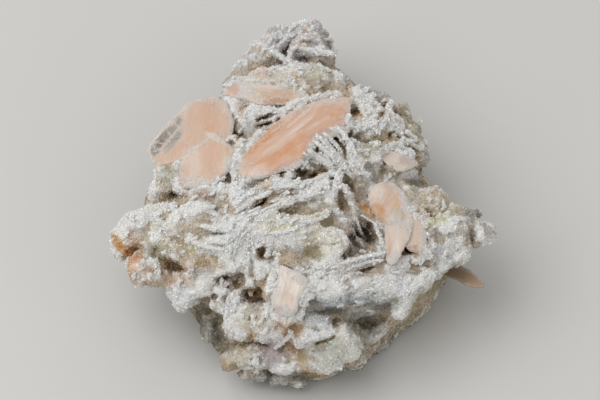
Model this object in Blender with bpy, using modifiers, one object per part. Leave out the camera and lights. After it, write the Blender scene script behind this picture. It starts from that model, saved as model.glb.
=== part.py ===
"""A hand-sized piece of white chalcedony and quartz druse with peach stilbite, lying on its broad back."""

import math
import random

import bmesh
import bpy
from mathutils import Matrix, Vector
from mathutils.bvhtree import BVHTree

MM = 0.001
OBJECT_NAME = "chalcedony_with_stilbite"

# The display face is set out square to a line of sight that rises this far above level.
SIGHT_RISE = math.radians(55.0)

# A line of sight is followed down from this height, and one that misses is moved towards the middle.
SIGHT_START = 120.0
NEARER_THE_MIDDLE = (1.0, 0.97, 0.94, 0.9, 0.85)

# This shift puts the origin under the middle of the piece, on the ground.
HOME = Vector((-1.3, 12.0, 0.0))

# The druse is worked at the finer size first and then cut down to broad facets.
DRUSE_STEP = 0.65
DRUSE_FACETS = 7400
UNDERSIDE_BAND = 0.7
RECESS_DETAIL = 2
LUMP_DETAIL = 2

# Small knobs of quartz stand all over the druse.
KNOB_COUNT = 900
KNOB_RADIUS_LEAST = 1.0
KNOB_RADIUS_MOST = 2.0
KNOB_SUNK = 0.2
KNOB_ALLOWANCE = 0.7
KNOB_SEED = 11

ROD_SIDES = 6
CRYSTAL_GAP = 0.45

# The body in level slices: height, then the outline at that height as across and deep.
BODY_SLICES = [
    (0.0, [(-3, -66), (10, -63), (21, -57), (28, -47), (38, -40), (43, -28), (44, -10), (38, 8),
           (26, 22), (8, 32), (-12, 32), (-28, 22), (-38, 6), (-42, -12), (-36, -30), (-29, -43),
           (-24, -55), (-14, -63)]),
    (12.0, [(-4, -66), (9, -64), (20, -58), (28.5, -49), (38, -40), (45, -28), (43, -13), (33, 5),
            (24, 23), (8, 37), (-12, 38), (-28, 26), (-40, 8), (-44, -12), (-40, -33), (-31, -44),
            (-25, -54), (-15, -63)]),
    (26.0, [(-4, -60), (9, -59), (20, -55), (30, -50), (40, -42), (46, -30), (42, -20), (33, 0),
            (24, 16), (10, 34), (-3, 42), (-16, 32), (-24, 18), (-38, -6), (-46, -24), (-38, -40),
            (-28, -46), (-16, -56)]),
    (36.0, [(-2, -50), (10, -52), (22, -50), (30, -44), (36, -36), (34, -24), (28, -8), (20, 8),
            (8, 18), (-4, 18), (-14, 8), (-22, -4), (-32, -16), (-36, -30), (-28, -40), (-14, -46)]),
    (41.0, [(2, -44), (10, -46), (16, -42), (20, -32), (22, -18), (16, -6), (8, 4), (-4, 4),
            (-12, -6), (-18, -18), (-20, -28), (-12, -38)]),
]

# Lumps of druse on the face: across, up, height of the middle, then half width, half rise, half depth.
PEAK_LUMPS = [
    (2, 50, 30, 7, 7, 8), (4.8, 54, 30, 2.6, 3.4, 5), (-6, 49, 30, 6.5, 6, 8), (-11, 44, 30, 6, 7, 8),
    (-16, 38, 29, 5.5, 7, 8), (-19, 36, 29, 4.3, 5, 7), (3, 44, 33, 7.6, 8, 7), (10, 35, 34, 7, 6, 8),
    (0, 36, 37, 12, 8, 6), (-10, 34, 36, 10, 8, 6), (17, 30, 36, 6.5, 6.5, 7), (7, 48, 31, 3, 5, 6),
]
UPPER_RIGHT_LUMPS = [
    (24.5, 30.5, 34, 4.2, 5, 7), (31.2, 26.5, 30, 3.0, 4.8, 6), (32, 21, 31, 4.6, 5, 7),
    (35, 16, 31, 4.2, 4.4, 6), (33, 9.5, 30, 3.4, 4, 6), (26, 21, 37, 8, 8, 6), (20, 22, 40, 8, 8, 6),
    (27, 11, 36, 7, 7, 6), (18, 12, 42, 8, 7, 5), (38, 14.2, 30, 1.9, 1.8, 4),
]
RIGHT_ARM_LUMPS = [
    (34, 0.5, 35, 8, 5, 6), (40, 0.5, 34, 5.5, 5, 6), (46, -4.2, 32, 6, 5.2, 6),
    (51.4, -2.6, 28, 3.9, 2.5, 3), (52.4, -8.4, 31, 6.6, 3.8, 4.5), (44, -9, 33, 8, 7, 6),
    (46, -14.3, 30, 5, 4.9, 6), (40, -16, 31, 6, 6.4, 6), (36, -21, 30, 5, 6, 6), (31, -24, 30, 6, 6, 6),
    (33, -9, 36, 8, 8, 5), (30.2, -29.4, 27.5, 4.0, 6.0, 6), (24, -24, 33, 7, 6, 6), (26, -16, 35.5, 8, 7, 5),
    (55, -9.5, 30.5, 4, 2.6, 3.5), (43, -13, 20, 7, 6, 8),
]
MIDDLE_LUMPS = [
    (17, -24, 34, 7, 5, 5), (9, -24, 35, 8, 5.5, 5), (9, -14, 40, 9, 8, 5), (0, -10, 42, 9, 8, 5),
    (-10, -8, 41, 9, 8, 5), (8, 0, 43, 10, 8, 4), (-6, 2, 43, 9, 7, 4), (-18, 0, 41, 8, 8, 5),
    (-20, -10, 38, 9, 8, 5), (-26, 2, 39, 8, 7, 5), (-30, -6, 38, 9, 8, 5), (-22, -20, 33, 6, 5, 5),
    (4, 13, 42.5, 8, 5, 4), (13, 14, 42.5, 6, 6.5, 5),
]
LEFT_ARM_LUMPS = [
    (-40, -4, 35, 9, 5.4, 6), (-48, -7.5, 32, 6.6, 6.6, 7), (-53, -11.2, 30, 4.3, 5.2, 6),
    (-48, -19, 29, 4, 5.4, 6), (-43, -20.8, 29, 4.5, 4.6, 5), (-40, -13, 33, 8, 8, 5),
    (-37, -24, 26, 4, 4.8, 5), (-35, -28, 25, 3.4, 4.4, 5), (-31, -25, 27, 4, 5, 5),
    (-28, -23, 30, 4, 4.5, 5), (-30, -15, 33, 7, 7, 5),
]
UPPER_LEFT_LUMPS = [
    (-39, 8.5, 34, 4.8, 5, 6), (-41.5, 3, 33, 3.8, 4.5, 5), (-32, 8, 37, 8, 7, 5), (-28, 18, 36, 7, 7, 5),
    (-20, 26, 37, 5, 7, 6), (-20, 14, 40, 8, 8, 5), (-12, 24, 41, 8, 7, 5), (-10, 14, 43, 8, 7, 4),
]
LOWER_LUMPS = [
    (-24, -28, 28, 3.6, 5, 5), (-14, -30, 26, 9, 6, 5), (-18, -35, 24, 5.5, 6, 6), (-8, -36, 25, 8, 6, 6),
    (2, -37, 24, 9, 6, 6), (12, -39, 22, 6, 5.6, 6), (14, -43, 19, 5, 4.5, 5), (6, -46, 16, 8, 5, 5),
    (-4, -46, 15, 8, 5, 6), (-14, -45, 15, 7, 5, 6), (-21, -46.4, 12, 3.8, 3.4, 5),
    (-14, -50.5, 6.5, 5, 3, 4.5), (-5, -52, 5.5, 5, 2.6, 4.5), (-0.4, -52.4, 5, 2.8, 2.6, 4),
    (-26.5, -36, 13, 3.8, 6, 6), (16, -46, 8, 5, 4, 5),
]

# Lumps of the back and sides: across, deep, height of the middle, then the three half sizes.
BACK_LUMPS = [
    (20, 28, 10, 9, 6, 8), (2, 36, 9, 10, 6, 8), (-16, 31, 8, 9, 6, 7), (-34, 14, 12, 7, 8, 9),
    (-42, -8, 10, 5, 8, 8), (31, 4, 12, 5.5, 8, 9), (2, 40, 22, 7, 6, 7), (-12, 37, 20, 7, 6, 7),
    (-30, 12, 25, 6, 7, 6), (26, 10, 24, 7, 7, 6), (42, -24, 8, 5, 8, 7), (-38, -24, 6, 5, 9, 6),
]

# Chips out of the foot of the sides: across, deep, then the three half sizes, each centred on the ground.
FOOT_CHIPS = [
    (44, -2, 9, 8, 5), (33, 20, 8, 7, 7), (14, 36, 10, 7, 4), (-20, 36, 9, 9, 5), (-40, 16, 8, 10, 6),
    (-48, -20, 8, 9, 4), (-36, -46, 8, 8, 5), (22, -64, 9, 6, 3), (46, -40, 8, 9, 6), (-4, 40, 7, 5, 3),
]

# Recesses open to the viewer: across, up, half width, half rise, depth under the surface, turn.
RECESSES = [
    (18.5, -9.0, 5.6, 5.8, 11, 10), (15.5, -14.5, 4.4, 2.4, 8, 25), (13.2, 0.8, 2.2, 4.6, 5, 20),
    (22, -34.5, 7, 2.6, 8, 0), (9, -31.5, 8, 1.6, 5, 8), (10.5, -35, 1.7, 1.3, 5, 0),
    (-38, -18.4, 5, 2.2, 6, -22), (-44, -16, 1.6, 1.6, 4, 0), (-20, -22.5, 5, 3, 5, 5),
    (-13, -27.2, 5.4, 3, 6, 5), (-25.5, -28, 2.2, 1.6, 4, 0),
    (-10.6, -14.6, 2.3, 2.6, 4, 0), (4.5, -14, 3.3, 3.3, 3, 0),
    (-24, -8.5, 2.4, 1.0, 4, 5), (-24, -12.6, 2.7, 1.2, 4, -5),
    (-5.2, 48.5, 2.6, 3.2, 4, 20), (2.6, 49.3, 2.6, 1.1, 4, -8), (1.8, 44, 3.6, 1.3, 4, -6),
    (9, 49, 2.4, 3.4, 3, 10), (18, 27.6, 2.2, 1.8, 4, 15), (25.5, 27.2, 2.0, 1.7, 4, 0),
    (29, 20.6, 2.4, 1.2, 3, -30), (21, 16.4, 4.4, 2.0, 3, 10), (5.4, 9.0, 3.2, 1.4, 4, 5),
    (-12, 0.8, 2.8, 1.5, 4, 25), (-14, -4.4, 1.4, 1.2, 3, 0), (13.5, 18, 1.8, 3.0, 4, 30),
    (36, 9, 3, 1.6, 4, 0), (53, -13.5, 3, 1.6, 5, 0), (-19, 4.4, 1.2, 1.2, 3, 0),
    (-30, 2.4, 4.6, 1.6, 3, -8), (-38, 3.2, 3.0, 1.2, 3, 0), (4, -41, 5, 1.2, 4, 8),
    (-13, -39.6, 1.8, 1.2, 4, 20), (33, -13.2, 3.2, 2.2, 5, 10), (20, -19, 4, 1.5, 4, 25),
]

# Druse-coated rods: each end's place across and up and its lift over the druse, then the radius.
RODS = [
    ((-2.6, 47.6, 0.6), (10.6, 45.4, 0.4), 1.0), ((-9.6, 46.4, 0.4), (-3.6, 43.4, 0.4), 0.9),
    ((-1.8, 47.4, 0.8), (-3.4, 42.9, 0.6), 0.9), ((-9.4, 44.6, 0.3), (-2.4, 52.6, 0.3), 1.2),
    ((1, 51.6, 0.4), (7.6, 50.4, 0.2), 1.0), ((-1, 41.9, 0.5), (9.6, 40.8, 0.3), 1.0),
    ((-18.6, 4.6, 0.4), (-14.4, 8.0, 0.4), 0.9), ((-18, 1.4, 0.4), (-11, 5.6, 0.6), 0.9),
    ((-17.4, -0.8, 0.4), (-8, 4.6, 0.8), 0.9), ((-8.8, 5.2, 0.6), (0.4, 5.4, 0.6), 0.95),
    ((-1.2, 5.4, 0.8), (11, 10.2, 1.0), 1.05), ((-9.6, 0.8, 0.4), (2.6, 2.4, 0.5), 0.9),
    ((-13, -3, 0.4), (8, 4.6, 0.6), 0.9), ((-9.6, -8.4, 0.4), (0, -6.4, 0.4), 0.9),
    ((-0.4, -6.6, 0.4), (9.4, -1.6, 0.5), 0.9), ((4.6, 21.4, 3.4), (12.8, 13.2, 1.6), 0.95),
    ((9, 18.2, 2.6), (15.8, 7.8, 1.0), 1.1), ((13.4, 19.6, 2.2), (15.8, 11.6, 1.0), 1.1),
    ((15.2, 22.2, 1.2), (23.6, 25.0, 0.6), 1.1), ((16, 16.2, 1.0), (30, 18.8, 0.6), 1.1),
    ((10.6, 24, 2.6), (17, 13.8, 1.0), 0.95), ((12.4, 11.4, 0.8), (10, 3, 0.6), 1.0),
    ((20, 19.6, 0.6), (31, 26.2, 0.4), 1.3), ((22, 15.6, 0.6), (36, 20.2, 0.3), 1.2),
    ((24, 22.6, 0.5), (27.4, 31, 0.3), 1.4), ((19, 25.6, 0.6), (21.4, 33, 0.3), 1.3),
    ((-33, -10.4, 0.4), (-19.4, -13.4, 0.6), 0.9), ((-30, -6, 0.4), (-18, -8, 0.5), 0.9),
    ((-16.4, -16.6, 0.6), (-14.2, -27.4, 0.4), 1.0), ((-20.6, -19.4, 0.4), (-17.6, -17, 0.4), 0.9),
    ((-12.2, -18.6, 0.6), (-10.4, -26.6, 0.8), 1.2), ((-19.8, -25.6, 0.4), (-21.8, -33, 0.4), 1.4),
    ((-8.4, -18, 0.5), (-9.4, -24, 0.5), 0.9),
    ((40, -20.2, 0.3), (29, -27, 0.2), 1.2), ((-44, -3, 0.3), (-36, -9, 0.4), 1.1),
    ((-47, -14, 0.3), (-41.4, -21, 0.2), 1.0), ((0, -40, 0.4), (10, -38, 0.3), 1.1),
    ((-8, -43, 0.3), (-2, -38.4, 0.3), 1.1), ((-30, 1.2, 0.4), (-24, -3.4, 0.4), 1.0),
]

# Thin plates that cross the deep pocket: two ends as for the rods, half width and half thickness.
PLATES = [
    ((12.4, -4.4, 0.2), (20.4, -13.4, -5.0), 1.6, 0.85), ((15.4, -3.0, 0.2), (22.4, -9.4, -4.0), 1.2, 0.85),
    ((11.4, -17.4, 0.3), (25.8, -14.0, 0.4), 1.2, 0.9), ((13.2, -19.4, 0.2), (25.4, -16.2, 0.2), 1.0, 0.9),
]

# Each crystal below is a list of shapes: its outline as across, up and height, then the rise of the
# crown above that outline and the drop of the keel below it, and how far both are drawn in.
MAIN_BLADE = [
    ([(15.6, 31.5, 46.5), (14.7, 32.4, 46.4), (10.5, 32.1, 46.6), (6.6, 31.8, 46.8), (0, 29.4, 47),
      (-4.5, 27, 47), (-9, 23.1, 47), (-13.5, 18.6, 47), (-16.8, 15, 46.6), (-18.3, 12.6, 46.2),
      (-18.6, 9.9, 45.8), (-17.1, 7.5, 45.6), (-11.4, 7.5, 46.6), (-5.4, 12, 48), (3, 19.5, 49),
      (11.1, 21, 48.6), (14.4, 26.1, 47.8)], 2.6, 5.0, 0.68),
    ([(-6, 14.5, 48), (-3, 10.6, 47.4), (0, 11, 47.6), (0.6, 13.6, 48), (3, 17, 48.6), (8.6, 20.2, 48.6),
      (7, 25, 48)], 1.6, 4.0, 0.6),
]
LEFT_PAIR = [
    ([(-45.9, 16.3, 36), (-45, 18.4, 36), (-39, 25.5, 38), (-33.6, 30.9, 39), (-30, 32.1, 39.4),
      (-25.2, 32.6, 40), (-21.6, 30.2, 41), (-19.6, 25, 42), (-20.6, 19.8, 42.4), (-24, 16.6, 42),
      (-34, 13.6, 39.4), (-42.4, 11, 36.6), (-44.4, 13.2, 36)], 2.2, 5.0, 0.82),
    ([(-36.2, 13.4, 40.4), (-33, 16.5, 41.4), (-28.5, 19.6, 42.6), (-25.2, 21.7, 43.4), (-18.8, 16, 44),
      (-19.6, 13.4, 43.8), (-21, 9.9, 43), (-25.5, 6, 42), (-30, 4.5, 41), (-34.5, 5.1, 40),
      (-36, 7.5, 40)], 2.2, 5.4, 0.72),
]
TOP_BLADE = [
    ([(-23.4, 34.4, 38.4), (-21.4, 36.4, 38.6), (-18, 37.6, 39.2), (-7.5, 36.2, 41), (0, 35, 42),
      (3.8, 32.2, 43), (1.5, 30.5, 43.4), (-4.5, 30, 43), (-12.6, 29.8, 42), (-15.4, 31.4, 41),
      (-22.8, 33, 38.8)], 1.6, 4.0, 0.7),
]
RIGHT_PAIR = [
    ([(21.4, 5.0, 42), (24, 6.6, 41.6), (27, 6.6, 41), (29.4, 4.8, 40.6), (30.9, 2.4, 40.6), (31.5, 0, 40.8),
      (30.6, -2.4, 41), (27.9, -4.6, 41.6), (25.5, -6, 42), (23.2, -4, 42), (20.7, 0, 42.4),
      (20.1, 2.7, 42.4)], 2.6, 5.0, 0.66),
    ([(26.6, -3.0, 42), (31.2, -2.4, 41.4), (33, -5.1, 41), (32.4, -9, 41), (30, -13.5, 40.8),
      (29.1, -15.9, 40.4), (27.6, -17.7, 40), (25.2, -17.1, 40), (25.2, -13.5, 41), (25.6, -9, 41.6)],
     1.6, 5.0, 0.7),
    ([(32.2, -4.6, 40.6), (36.3, -5.5, 39.8), (37.3, -9, 39.4), (37.5, -12.9, 39), (35.6, -14.6, 39),
      (33.6, -12.6, 39.6), (31.6, -9.0, 40.4)], 1.2, 4.0, 0.7),
]
RIGHT_SMALL = [
    ([(23.4, 14.4, 42.6), (25.5, 16.5, 41.8), (30, 15, 40.4), (33.6, 14.1, 39), (35.1, 12, 38.4),
      (31.5, 10.5, 39.6), (29.1, 10.2, 40.4), (26.4, 12, 41.6)], 1.4, 4.0, 0.7),
]
LOWER_MIDDLE = [
    ([(-6, -17.4, 41.4), (-3.4, -18.6, 41.6), (0, -20, 41), (2.7, -22.5, 40), (1.4, -25.6, 38.6),
      (-0.6, -28.5, 37), (-0.5, -31, 35), (-2.3, -33, 33.4), (-4.8, -33, 33.4), (-8.1, -30, 35),
      (-8.5, -27.4, 36.6), (-6.9, -24, 38.4), (-6.3, -20.1, 40.4)], 1.6, 5.0, 0.66),
]
LOWER_SPEAR = [
    ([(40, -17.6, 21), (48.3, -18.2, 21), (51, -19.4, 21), (52.8, -21, 21), (54, -22.8, 21),
      (55.4, -23.4, 21), (55, -24.7, 21), (52.8, -25, 21), (49.6, -24.2, 21), (47, -22.6, 21),
      (41, -20.6, 21)], 1.6, 2.0, 0.6),
]


def clear_scene():
    """An empty scene."""
    for old in list(bpy.data.objects):
        bpy.data.objects.remove(old, do_unlink=True)


def face_point(across, up, height):
    """The place, in metres, that the display face shows so far across and up, so high above the ground."""
    deep = up / math.sin(SIGHT_RISE) - height / math.tan(SIGHT_RISE)
    return (Vector((across, deep, height)) + HOME) * MM


def surface_of(made):
    """Finds the height at which the line of sight meets the object, at a place across and up the face."""
    mesh = bmesh.new()
    mesh.from_mesh(made.data)
    tree = BVHTree.FromBMesh(mesh)
    mesh.free()
    inwards = Vector((0.0, math.cos(SIGHT_RISE), -math.sin(SIGHT_RISE)))

    def height_at(across, up):
        for share in NEARER_THE_MIDDLE:
            start = face_point(across * share, up * share, SIGHT_START)
            hit = tree.ray_cast(start, inwards)[0]
            if hit:
                return hit.z / MM
        return 0.0

    return height_at


def face_axes(turn=0.0):
    """Axes that run across the face, up the face and out to the viewer, turned in the face."""
    right = Vector((1.0, 0.0, 0.0))
    rise = Vector((0.0, math.sin(SIGHT_RISE), math.cos(SIGHT_RISE)))
    out = Vector((0.0, -math.cos(SIGHT_RISE), math.sin(SIGHT_RISE)))
    axes = Matrix((right, rise, out)).transposed()
    return axes @ Matrix.Rotation(math.radians(turn), 3, "Z")


def place(across, up, height, sizes, turn=0.0):
    """The matrix that carries a unit shape to its place in the face, at its half sizes in mm."""
    scale = Matrix.Diagonal([size * MM for size in sizes])
    return Matrix.Translation(face_point(across, up, height)) @ (face_axes(turn) @ scale).to_4x4()


def place_level(middle, sizes):
    """The matrix that carries a unit shape to a middle in level axes, at its half sizes in mm."""
    scale = Matrix.Diagonal([size * MM for size in sizes]).to_4x4()
    return Matrix.Translation((Vector(middle) + HOME) * MM) @ scale


def add_ball(mesh, matrix, detail):
    """A faceted ball of radius one, carried by the matrix."""
    bmesh.ops.create_icosphere(mesh, subdivisions=detail, radius=1.0, matrix=matrix)


def add_hull(mesh, points):
    """The closed shape that just holds the points."""
    corners = [mesh.verts.new(point) for point in points]
    made = bmesh.ops.convex_hull(mesh, input=corners)
    spare = {item for item in made["geom_interior"] if isinstance(item, bmesh.types.BMVert)}
    for corner in spare:
        mesh.verts.remove(corner)


def to_object(name, mesh, collection):
    """The finished mesh as an object with its faces outwards."""
    bmesh.ops.recalc_face_normals(mesh, faces=mesh.faces)
    data = bpy.data.meshes.new(name)
    mesh.to_mesh(data)
    mesh.free()
    made = bpy.data.objects.new(name, data)
    collection.objects.link(made)
    return made


def settle_modifiers(made):
    """The object's modifiers worked into its mesh."""
    bpy.context.view_layer.update()
    graph = bpy.context.evaluated_depsgraph_get()
    finished = bpy.data.meshes.new_from_object(made.evaluated_get(graph))
    made.modifiers.clear()
    made.data = finished


def combine(target, tool, operation):
    """The target joined with the tool, or with the tool's shape taken out of it."""
    boolean = target.modifiers.new(operation.lower(), "BOOLEAN")
    boolean.solver = "EXACT"
    boolean.operation = operation
    boolean.object = tool
    settle_modifiers(target)


def keep_largest(made):
    """The object's largest connected shell, without loose chips."""
    mesh = bmesh.new()
    mesh.from_mesh(made.data)
    left = set(mesh.verts)
    shells = []
    while left:
        edge_of = [left.pop()]
        shell = set(edge_of)
        while edge_of:
            corner = edge_of.pop()
            near = {edge.other_vert(corner) for edge in corner.link_edges} - shell
            shell |= near
            edge_of.extend(near)
        left -= shell
        shells.append(shell)
    shells.sort(key=len)
    chips = [corner for shell in shells[:-1] for corner in shell]
    bmesh.ops.delete(mesh, geom=chips, context="VERTS")
    mesh.to_mesh(made.data)
    mesh.free()


def knob_places(source, count):
    """Places a little under the surface, chosen by chance in proportion to area, and a radius for each."""
    chance = random.Random(KNOB_SEED)
    faces = [face for face in source.faces if face.calc_center_median().z > 2.5 * MM]
    areas = [face.calc_area() for face in faces]
    places = []
    for face in chance.choices(faces, weights=areas, k=count):
        shares = [chance.random() + 0.05 for corner in face.verts]
        total = sum(shares)
        spot = sum((corner.co * share for corner, share in zip(face.verts, shares)), Vector()) / total
        radius = chance.uniform(KNOB_RADIUS_LEAST, KNOB_RADIUS_MOST)
        places.append((spot - face.normal * radius * KNOB_SUNK * MM, radius))
    return places


def rough_body(collection):
    """The slices and lumps run together into one faceted body."""
    mesh = bmesh.new()
    for (low, low_outline), (high, high_outline) in zip(BODY_SLICES, BODY_SLICES[1:]):
        points = [Vector((x, y, low)) for x, y in low_outline]
        points += [Vector((x, y, high)) for x, y in high_outline]
        add_hull(mesh, [(point + HOME) * MM for point in points])
    lumps = PEAK_LUMPS + UPPER_RIGHT_LUMPS + RIGHT_ARM_LUMPS + MIDDLE_LUMPS
    lumps += LEFT_ARM_LUMPS + UPPER_LEFT_LUMPS + LOWER_LUMPS
    for across, up, height, *sizes in lumps:
        bare = [size - KNOB_ALLOWANCE for size in sizes]
        add_ball(mesh, place(across, up, height, bare), LUMP_DETAIL)
    for across, deep, height, wide, long, tall in BACK_LUMPS:
        add_ball(mesh, place_level((across, deep, height), (wide, long, tall)), LUMP_DETAIL)
    return to_object("chalcedony_matrix", mesh, collection)


def druse(made):
    """The surface drawn anew as an even net at the druse step."""
    remesh = made.modifiers.new("druse", "REMESH")
    remesh.mode = "VOXEL"
    remesh.voxel_size = DRUSE_STEP * MM
    settle_modifiers(made)


def add_knobs(made):
    """Small knobs of quartz over all the druse, grown into it."""
    source = bmesh.new()
    source.from_mesh(made.data)
    knobs = bmesh.new()
    for spot, radius in knob_places(source, KNOB_COUNT):
        size = Matrix.Scale(radius * MM, 4)
        add_ball(knobs, Matrix.Translation(spot) @ size, 1)
    source.free()
    grow_on(made, knobs)
    druse(made)


def grow_on(made, mesh):
    """The mesh's shapes added to the object's own."""
    extra = bpy.data.meshes.new("growth")
    mesh.to_mesh(extra)
    mesh.free()
    whole = bmesh.new()
    whole.from_mesh(made.data)
    whole.from_mesh(extra)
    whole.to_mesh(made.data)
    whole.free()
    bpy.data.meshes.remove(extra)


def cut_recesses(made, height_at, cutters):
    """The recesses taken out of the druse."""
    mesh = bmesh.new()
    for across, up, wide, rise, deep, turn in RECESSES:
        height = height_at(across, up)
        add_ball(mesh, place(across, up, height, (wide, rise, deep), turn), RECESS_DETAIL)
    for across, deep, wide, long, tall in FOOT_CHIPS:
        add_ball(mesh, place_level((across, deep, 0.0), (wide, long, tall)), LUMP_DETAIL)
    tool = to_object("recess_cutter", mesh, cutters)
    hide(tool)
    druse(tool)
    combine(made, tool, "DIFFERENCE")


def facet(made):
    """The druse cut down to broad facets, with the underside broken off flat."""
    triangles = sum(len(face.vertices) - 2 for face in made.data.polygons)
    decimate = made.modifiers.new("facets", "DECIMATE")
    decimate.ratio = min(1.0, DRUSE_FACETS / triangles)
    settle_modifiers(made)
    for corner in made.data.vertices:
        if corner.co.z < UNDERSIDE_BAND * MM:
            corner.co.z = 0.0


def add_bar(mesh, low, high, half_wide, half_thin, sides):
    """A straight bar from one place to the other, flat or round as its two half sizes say."""
    along = high - low
    turn = along.to_track_quat("Z", "Y").to_matrix().to_4x4()
    middle = Matrix.Translation((low + high) / 2)
    size = Matrix.Diagonal((half_wide * MM, half_thin * MM, 1.0, 1.0))
    bmesh.ops.create_cone(
        mesh, cap_ends=True, segments=sides, radius1=1.0, radius2=0.86, depth=along.length,
        matrix=middle @ turn @ size,
    )


def add_rods(made, height_at):
    """The rods and plates of the lattice, grown into the druse."""
    bars = [(start, end, radius, radius, ROD_SIDES) for start, end, radius in RODS]
    bars += [(start, end, wide, thin, 4) for start, end, wide, thin in PLATES]
    mesh = bmesh.new()
    for start, end, wide, thin, sides in bars:
        low, high = (
            face_point(across, up, height_at(across, up) + lift) for across, up, lift in (start, end)
        )
        add_bar(mesh, low, high, wide, thin, sides)
    grow_on(made, mesh)
    druse(made)


def join_and_drop(made, tool):
    """The tool grown into the object; the tool itself goes."""
    combine(made, tool, "UNION")
    bpy.data.objects.remove(tool, do_unlink=True)


def hide(tool):
    """Leaves a cutter out of the finished object."""
    tool.hide_render = True
    tool.display_type = "WIRE"


def crystal_points(outline, crown, keel, drawn_in):
    """The outline with a crown towards the viewer and a keel away from it, both drawn in."""
    middle_across = sum(point[0] for point in outline) / len(outline)
    middle_up = sum(point[1] for point in outline) / len(outline)
    points = [face_point(*point) for point in outline]
    for lift, share in ((crown, drawn_in), (-keel, drawn_in)):
        for across, up, height in outline:
            inner_across = middle_across + (across - middle_across) * share
            inner_up = middle_up + (up - middle_up) * share
            points.append(face_point(inner_across, inner_up, height + lift))
    return points


def crystal_shape(name, shape, grown, collection):
    """One flat-faced stilbite shape, drawn as much larger all round as grown says."""
    mesh = bmesh.new()
    add_hull(mesh, crystal_points(*shape))
    bmesh.ops.triangulate(mesh, faces=mesh.faces)
    bmesh.ops.recalc_face_normals(mesh, faces=mesh.faces)
    mesh.normal_update()
    moves = [(corner, corner.normal * grown * MM) for corner in mesh.verts]
    for corner, move in moves:
        corner.co += move
    return to_object(name, mesh, collection)


def crystal(name, shapes, collection):
    """A stilbite crystal, or a few grown together."""
    made = crystal_shape(name, shapes[0], 0.0, collection)
    for shape in shapes[1:]:
        join_and_drop(made, crystal_shape(name + "_more", shape, 0.0, collection))
    return made


def cut_seats(matrix, name, shapes, cutters):
    """The hollows in the druse that the crystal's shapes sit in."""
    for number, shape in enumerate(shapes):
        seat = crystal_shape(f"{name}_seat_{number}", shape, CRYSTAL_GAP, cutters)
        hide(seat)
        combine(matrix, seat, "DIFFERENCE")


def paint(made, name, colour, roughness, clearness):
    """The node's own material."""
    material = bpy.data.materials.new(name)
    material.use_nodes = True
    shader = material.node_tree.nodes["Principled BSDF"]
    shader.inputs["Base Color"].default_value = (*colour, 1.0)
    shader.inputs["Roughness"].default_value = roughness
    shader.inputs["Transmission Weight"].default_value = clearness
    made.data.materials.clear()
    made.data.materials.append(material)


def chalcedony_colour(made):
    """White druse over grey matrix."""
    paint(made, "white_chalcedony_druse", (0.62, 0.61, 0.58), 0.42, 0.0)


def stilbite_colour(made, name, colour):
    """Peach stilbite with a pearly face."""
    paint(made, name, colour, 0.3, 0.1)


def build():
    """The whole specimen."""
    clear_scene()
    parts = bpy.data.collections.new(OBJECT_NAME)
    cutters = bpy.data.collections.new("cutters")
    bpy.context.scene.collection.children.link(parts)
    bpy.context.scene.collection.children.link(cutters)
    matrix = rough_body(parts)
    druse(matrix)
    add_knobs(matrix)
    height_at = surface_of(matrix)
    cut_recesses(matrix, height_at, cutters)
    add_rods(matrix, height_at)
    facet(matrix)
    chalcedony_colour(matrix)
    crystals = [
        ("stilbite_main_blade", MAIN_BLADE, (0.63, 0.31, 0.19)),
        ("stilbite_left_pair", LEFT_PAIR, (0.60, 0.36, 0.27)),
        ("stilbite_top_blade", TOP_BLADE, (0.58, 0.35, 0.24)),
        ("stilbite_right_pair", RIGHT_PAIR, (0.60, 0.37, 0.25)),
        ("stilbite_right_small", RIGHT_SMALL, (0.55, 0.45, 0.35)),
        ("stilbite_lower_middle", LOWER_MIDDLE, (0.58, 0.42, 0.33)),
        ("stilbite_lower_right_spear", LOWER_SPEAR, (0.42, 0.28, 0.19)),
    ]
    for name, shapes, colour in crystals:
        made = crystal(name, shapes, parts)
        stilbite_colour(made, name + "_stone", colour)
        cut_seats(matrix, name, shapes, cutters)
    keep_largest(matrix)


build()
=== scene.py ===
"""White chalcedony and quartz druse with peach stilbite, lying on its broad back."""

import math

import bmesh
import bpy
import numpy as np
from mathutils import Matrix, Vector
from mathutils.bvhtree import BVHTree


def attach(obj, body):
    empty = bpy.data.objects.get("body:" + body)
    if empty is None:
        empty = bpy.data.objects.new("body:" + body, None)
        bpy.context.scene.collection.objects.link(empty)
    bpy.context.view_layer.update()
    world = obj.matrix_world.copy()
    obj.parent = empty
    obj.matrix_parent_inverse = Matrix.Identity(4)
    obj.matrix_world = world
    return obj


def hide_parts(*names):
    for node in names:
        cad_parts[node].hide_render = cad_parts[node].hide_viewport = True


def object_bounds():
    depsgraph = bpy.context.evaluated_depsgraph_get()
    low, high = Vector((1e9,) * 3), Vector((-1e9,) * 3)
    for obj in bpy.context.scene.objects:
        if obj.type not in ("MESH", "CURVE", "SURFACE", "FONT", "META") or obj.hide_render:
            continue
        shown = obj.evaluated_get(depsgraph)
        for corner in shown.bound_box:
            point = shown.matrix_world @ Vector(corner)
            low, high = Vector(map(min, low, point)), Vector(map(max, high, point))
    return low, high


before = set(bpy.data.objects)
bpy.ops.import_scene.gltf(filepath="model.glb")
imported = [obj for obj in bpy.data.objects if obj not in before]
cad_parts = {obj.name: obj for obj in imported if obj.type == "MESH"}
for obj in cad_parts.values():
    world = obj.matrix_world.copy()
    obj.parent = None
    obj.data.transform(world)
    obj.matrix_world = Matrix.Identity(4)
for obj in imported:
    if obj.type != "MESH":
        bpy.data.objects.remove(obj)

cad_low, cad_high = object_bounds()

# The matrix: one crust of chalcedony and fine quartz that grew over a lattice of rods and plates
# in a cavity of lava. It starts from the solid's own broad form and gets knobs, pits and rods.
MM = 0.001
BROAD_STEP = 0.6
FINE_STEP = 0.45
DRUSE_TRIANGLES = 190000
BOX_MARGIN = 0.02

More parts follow.
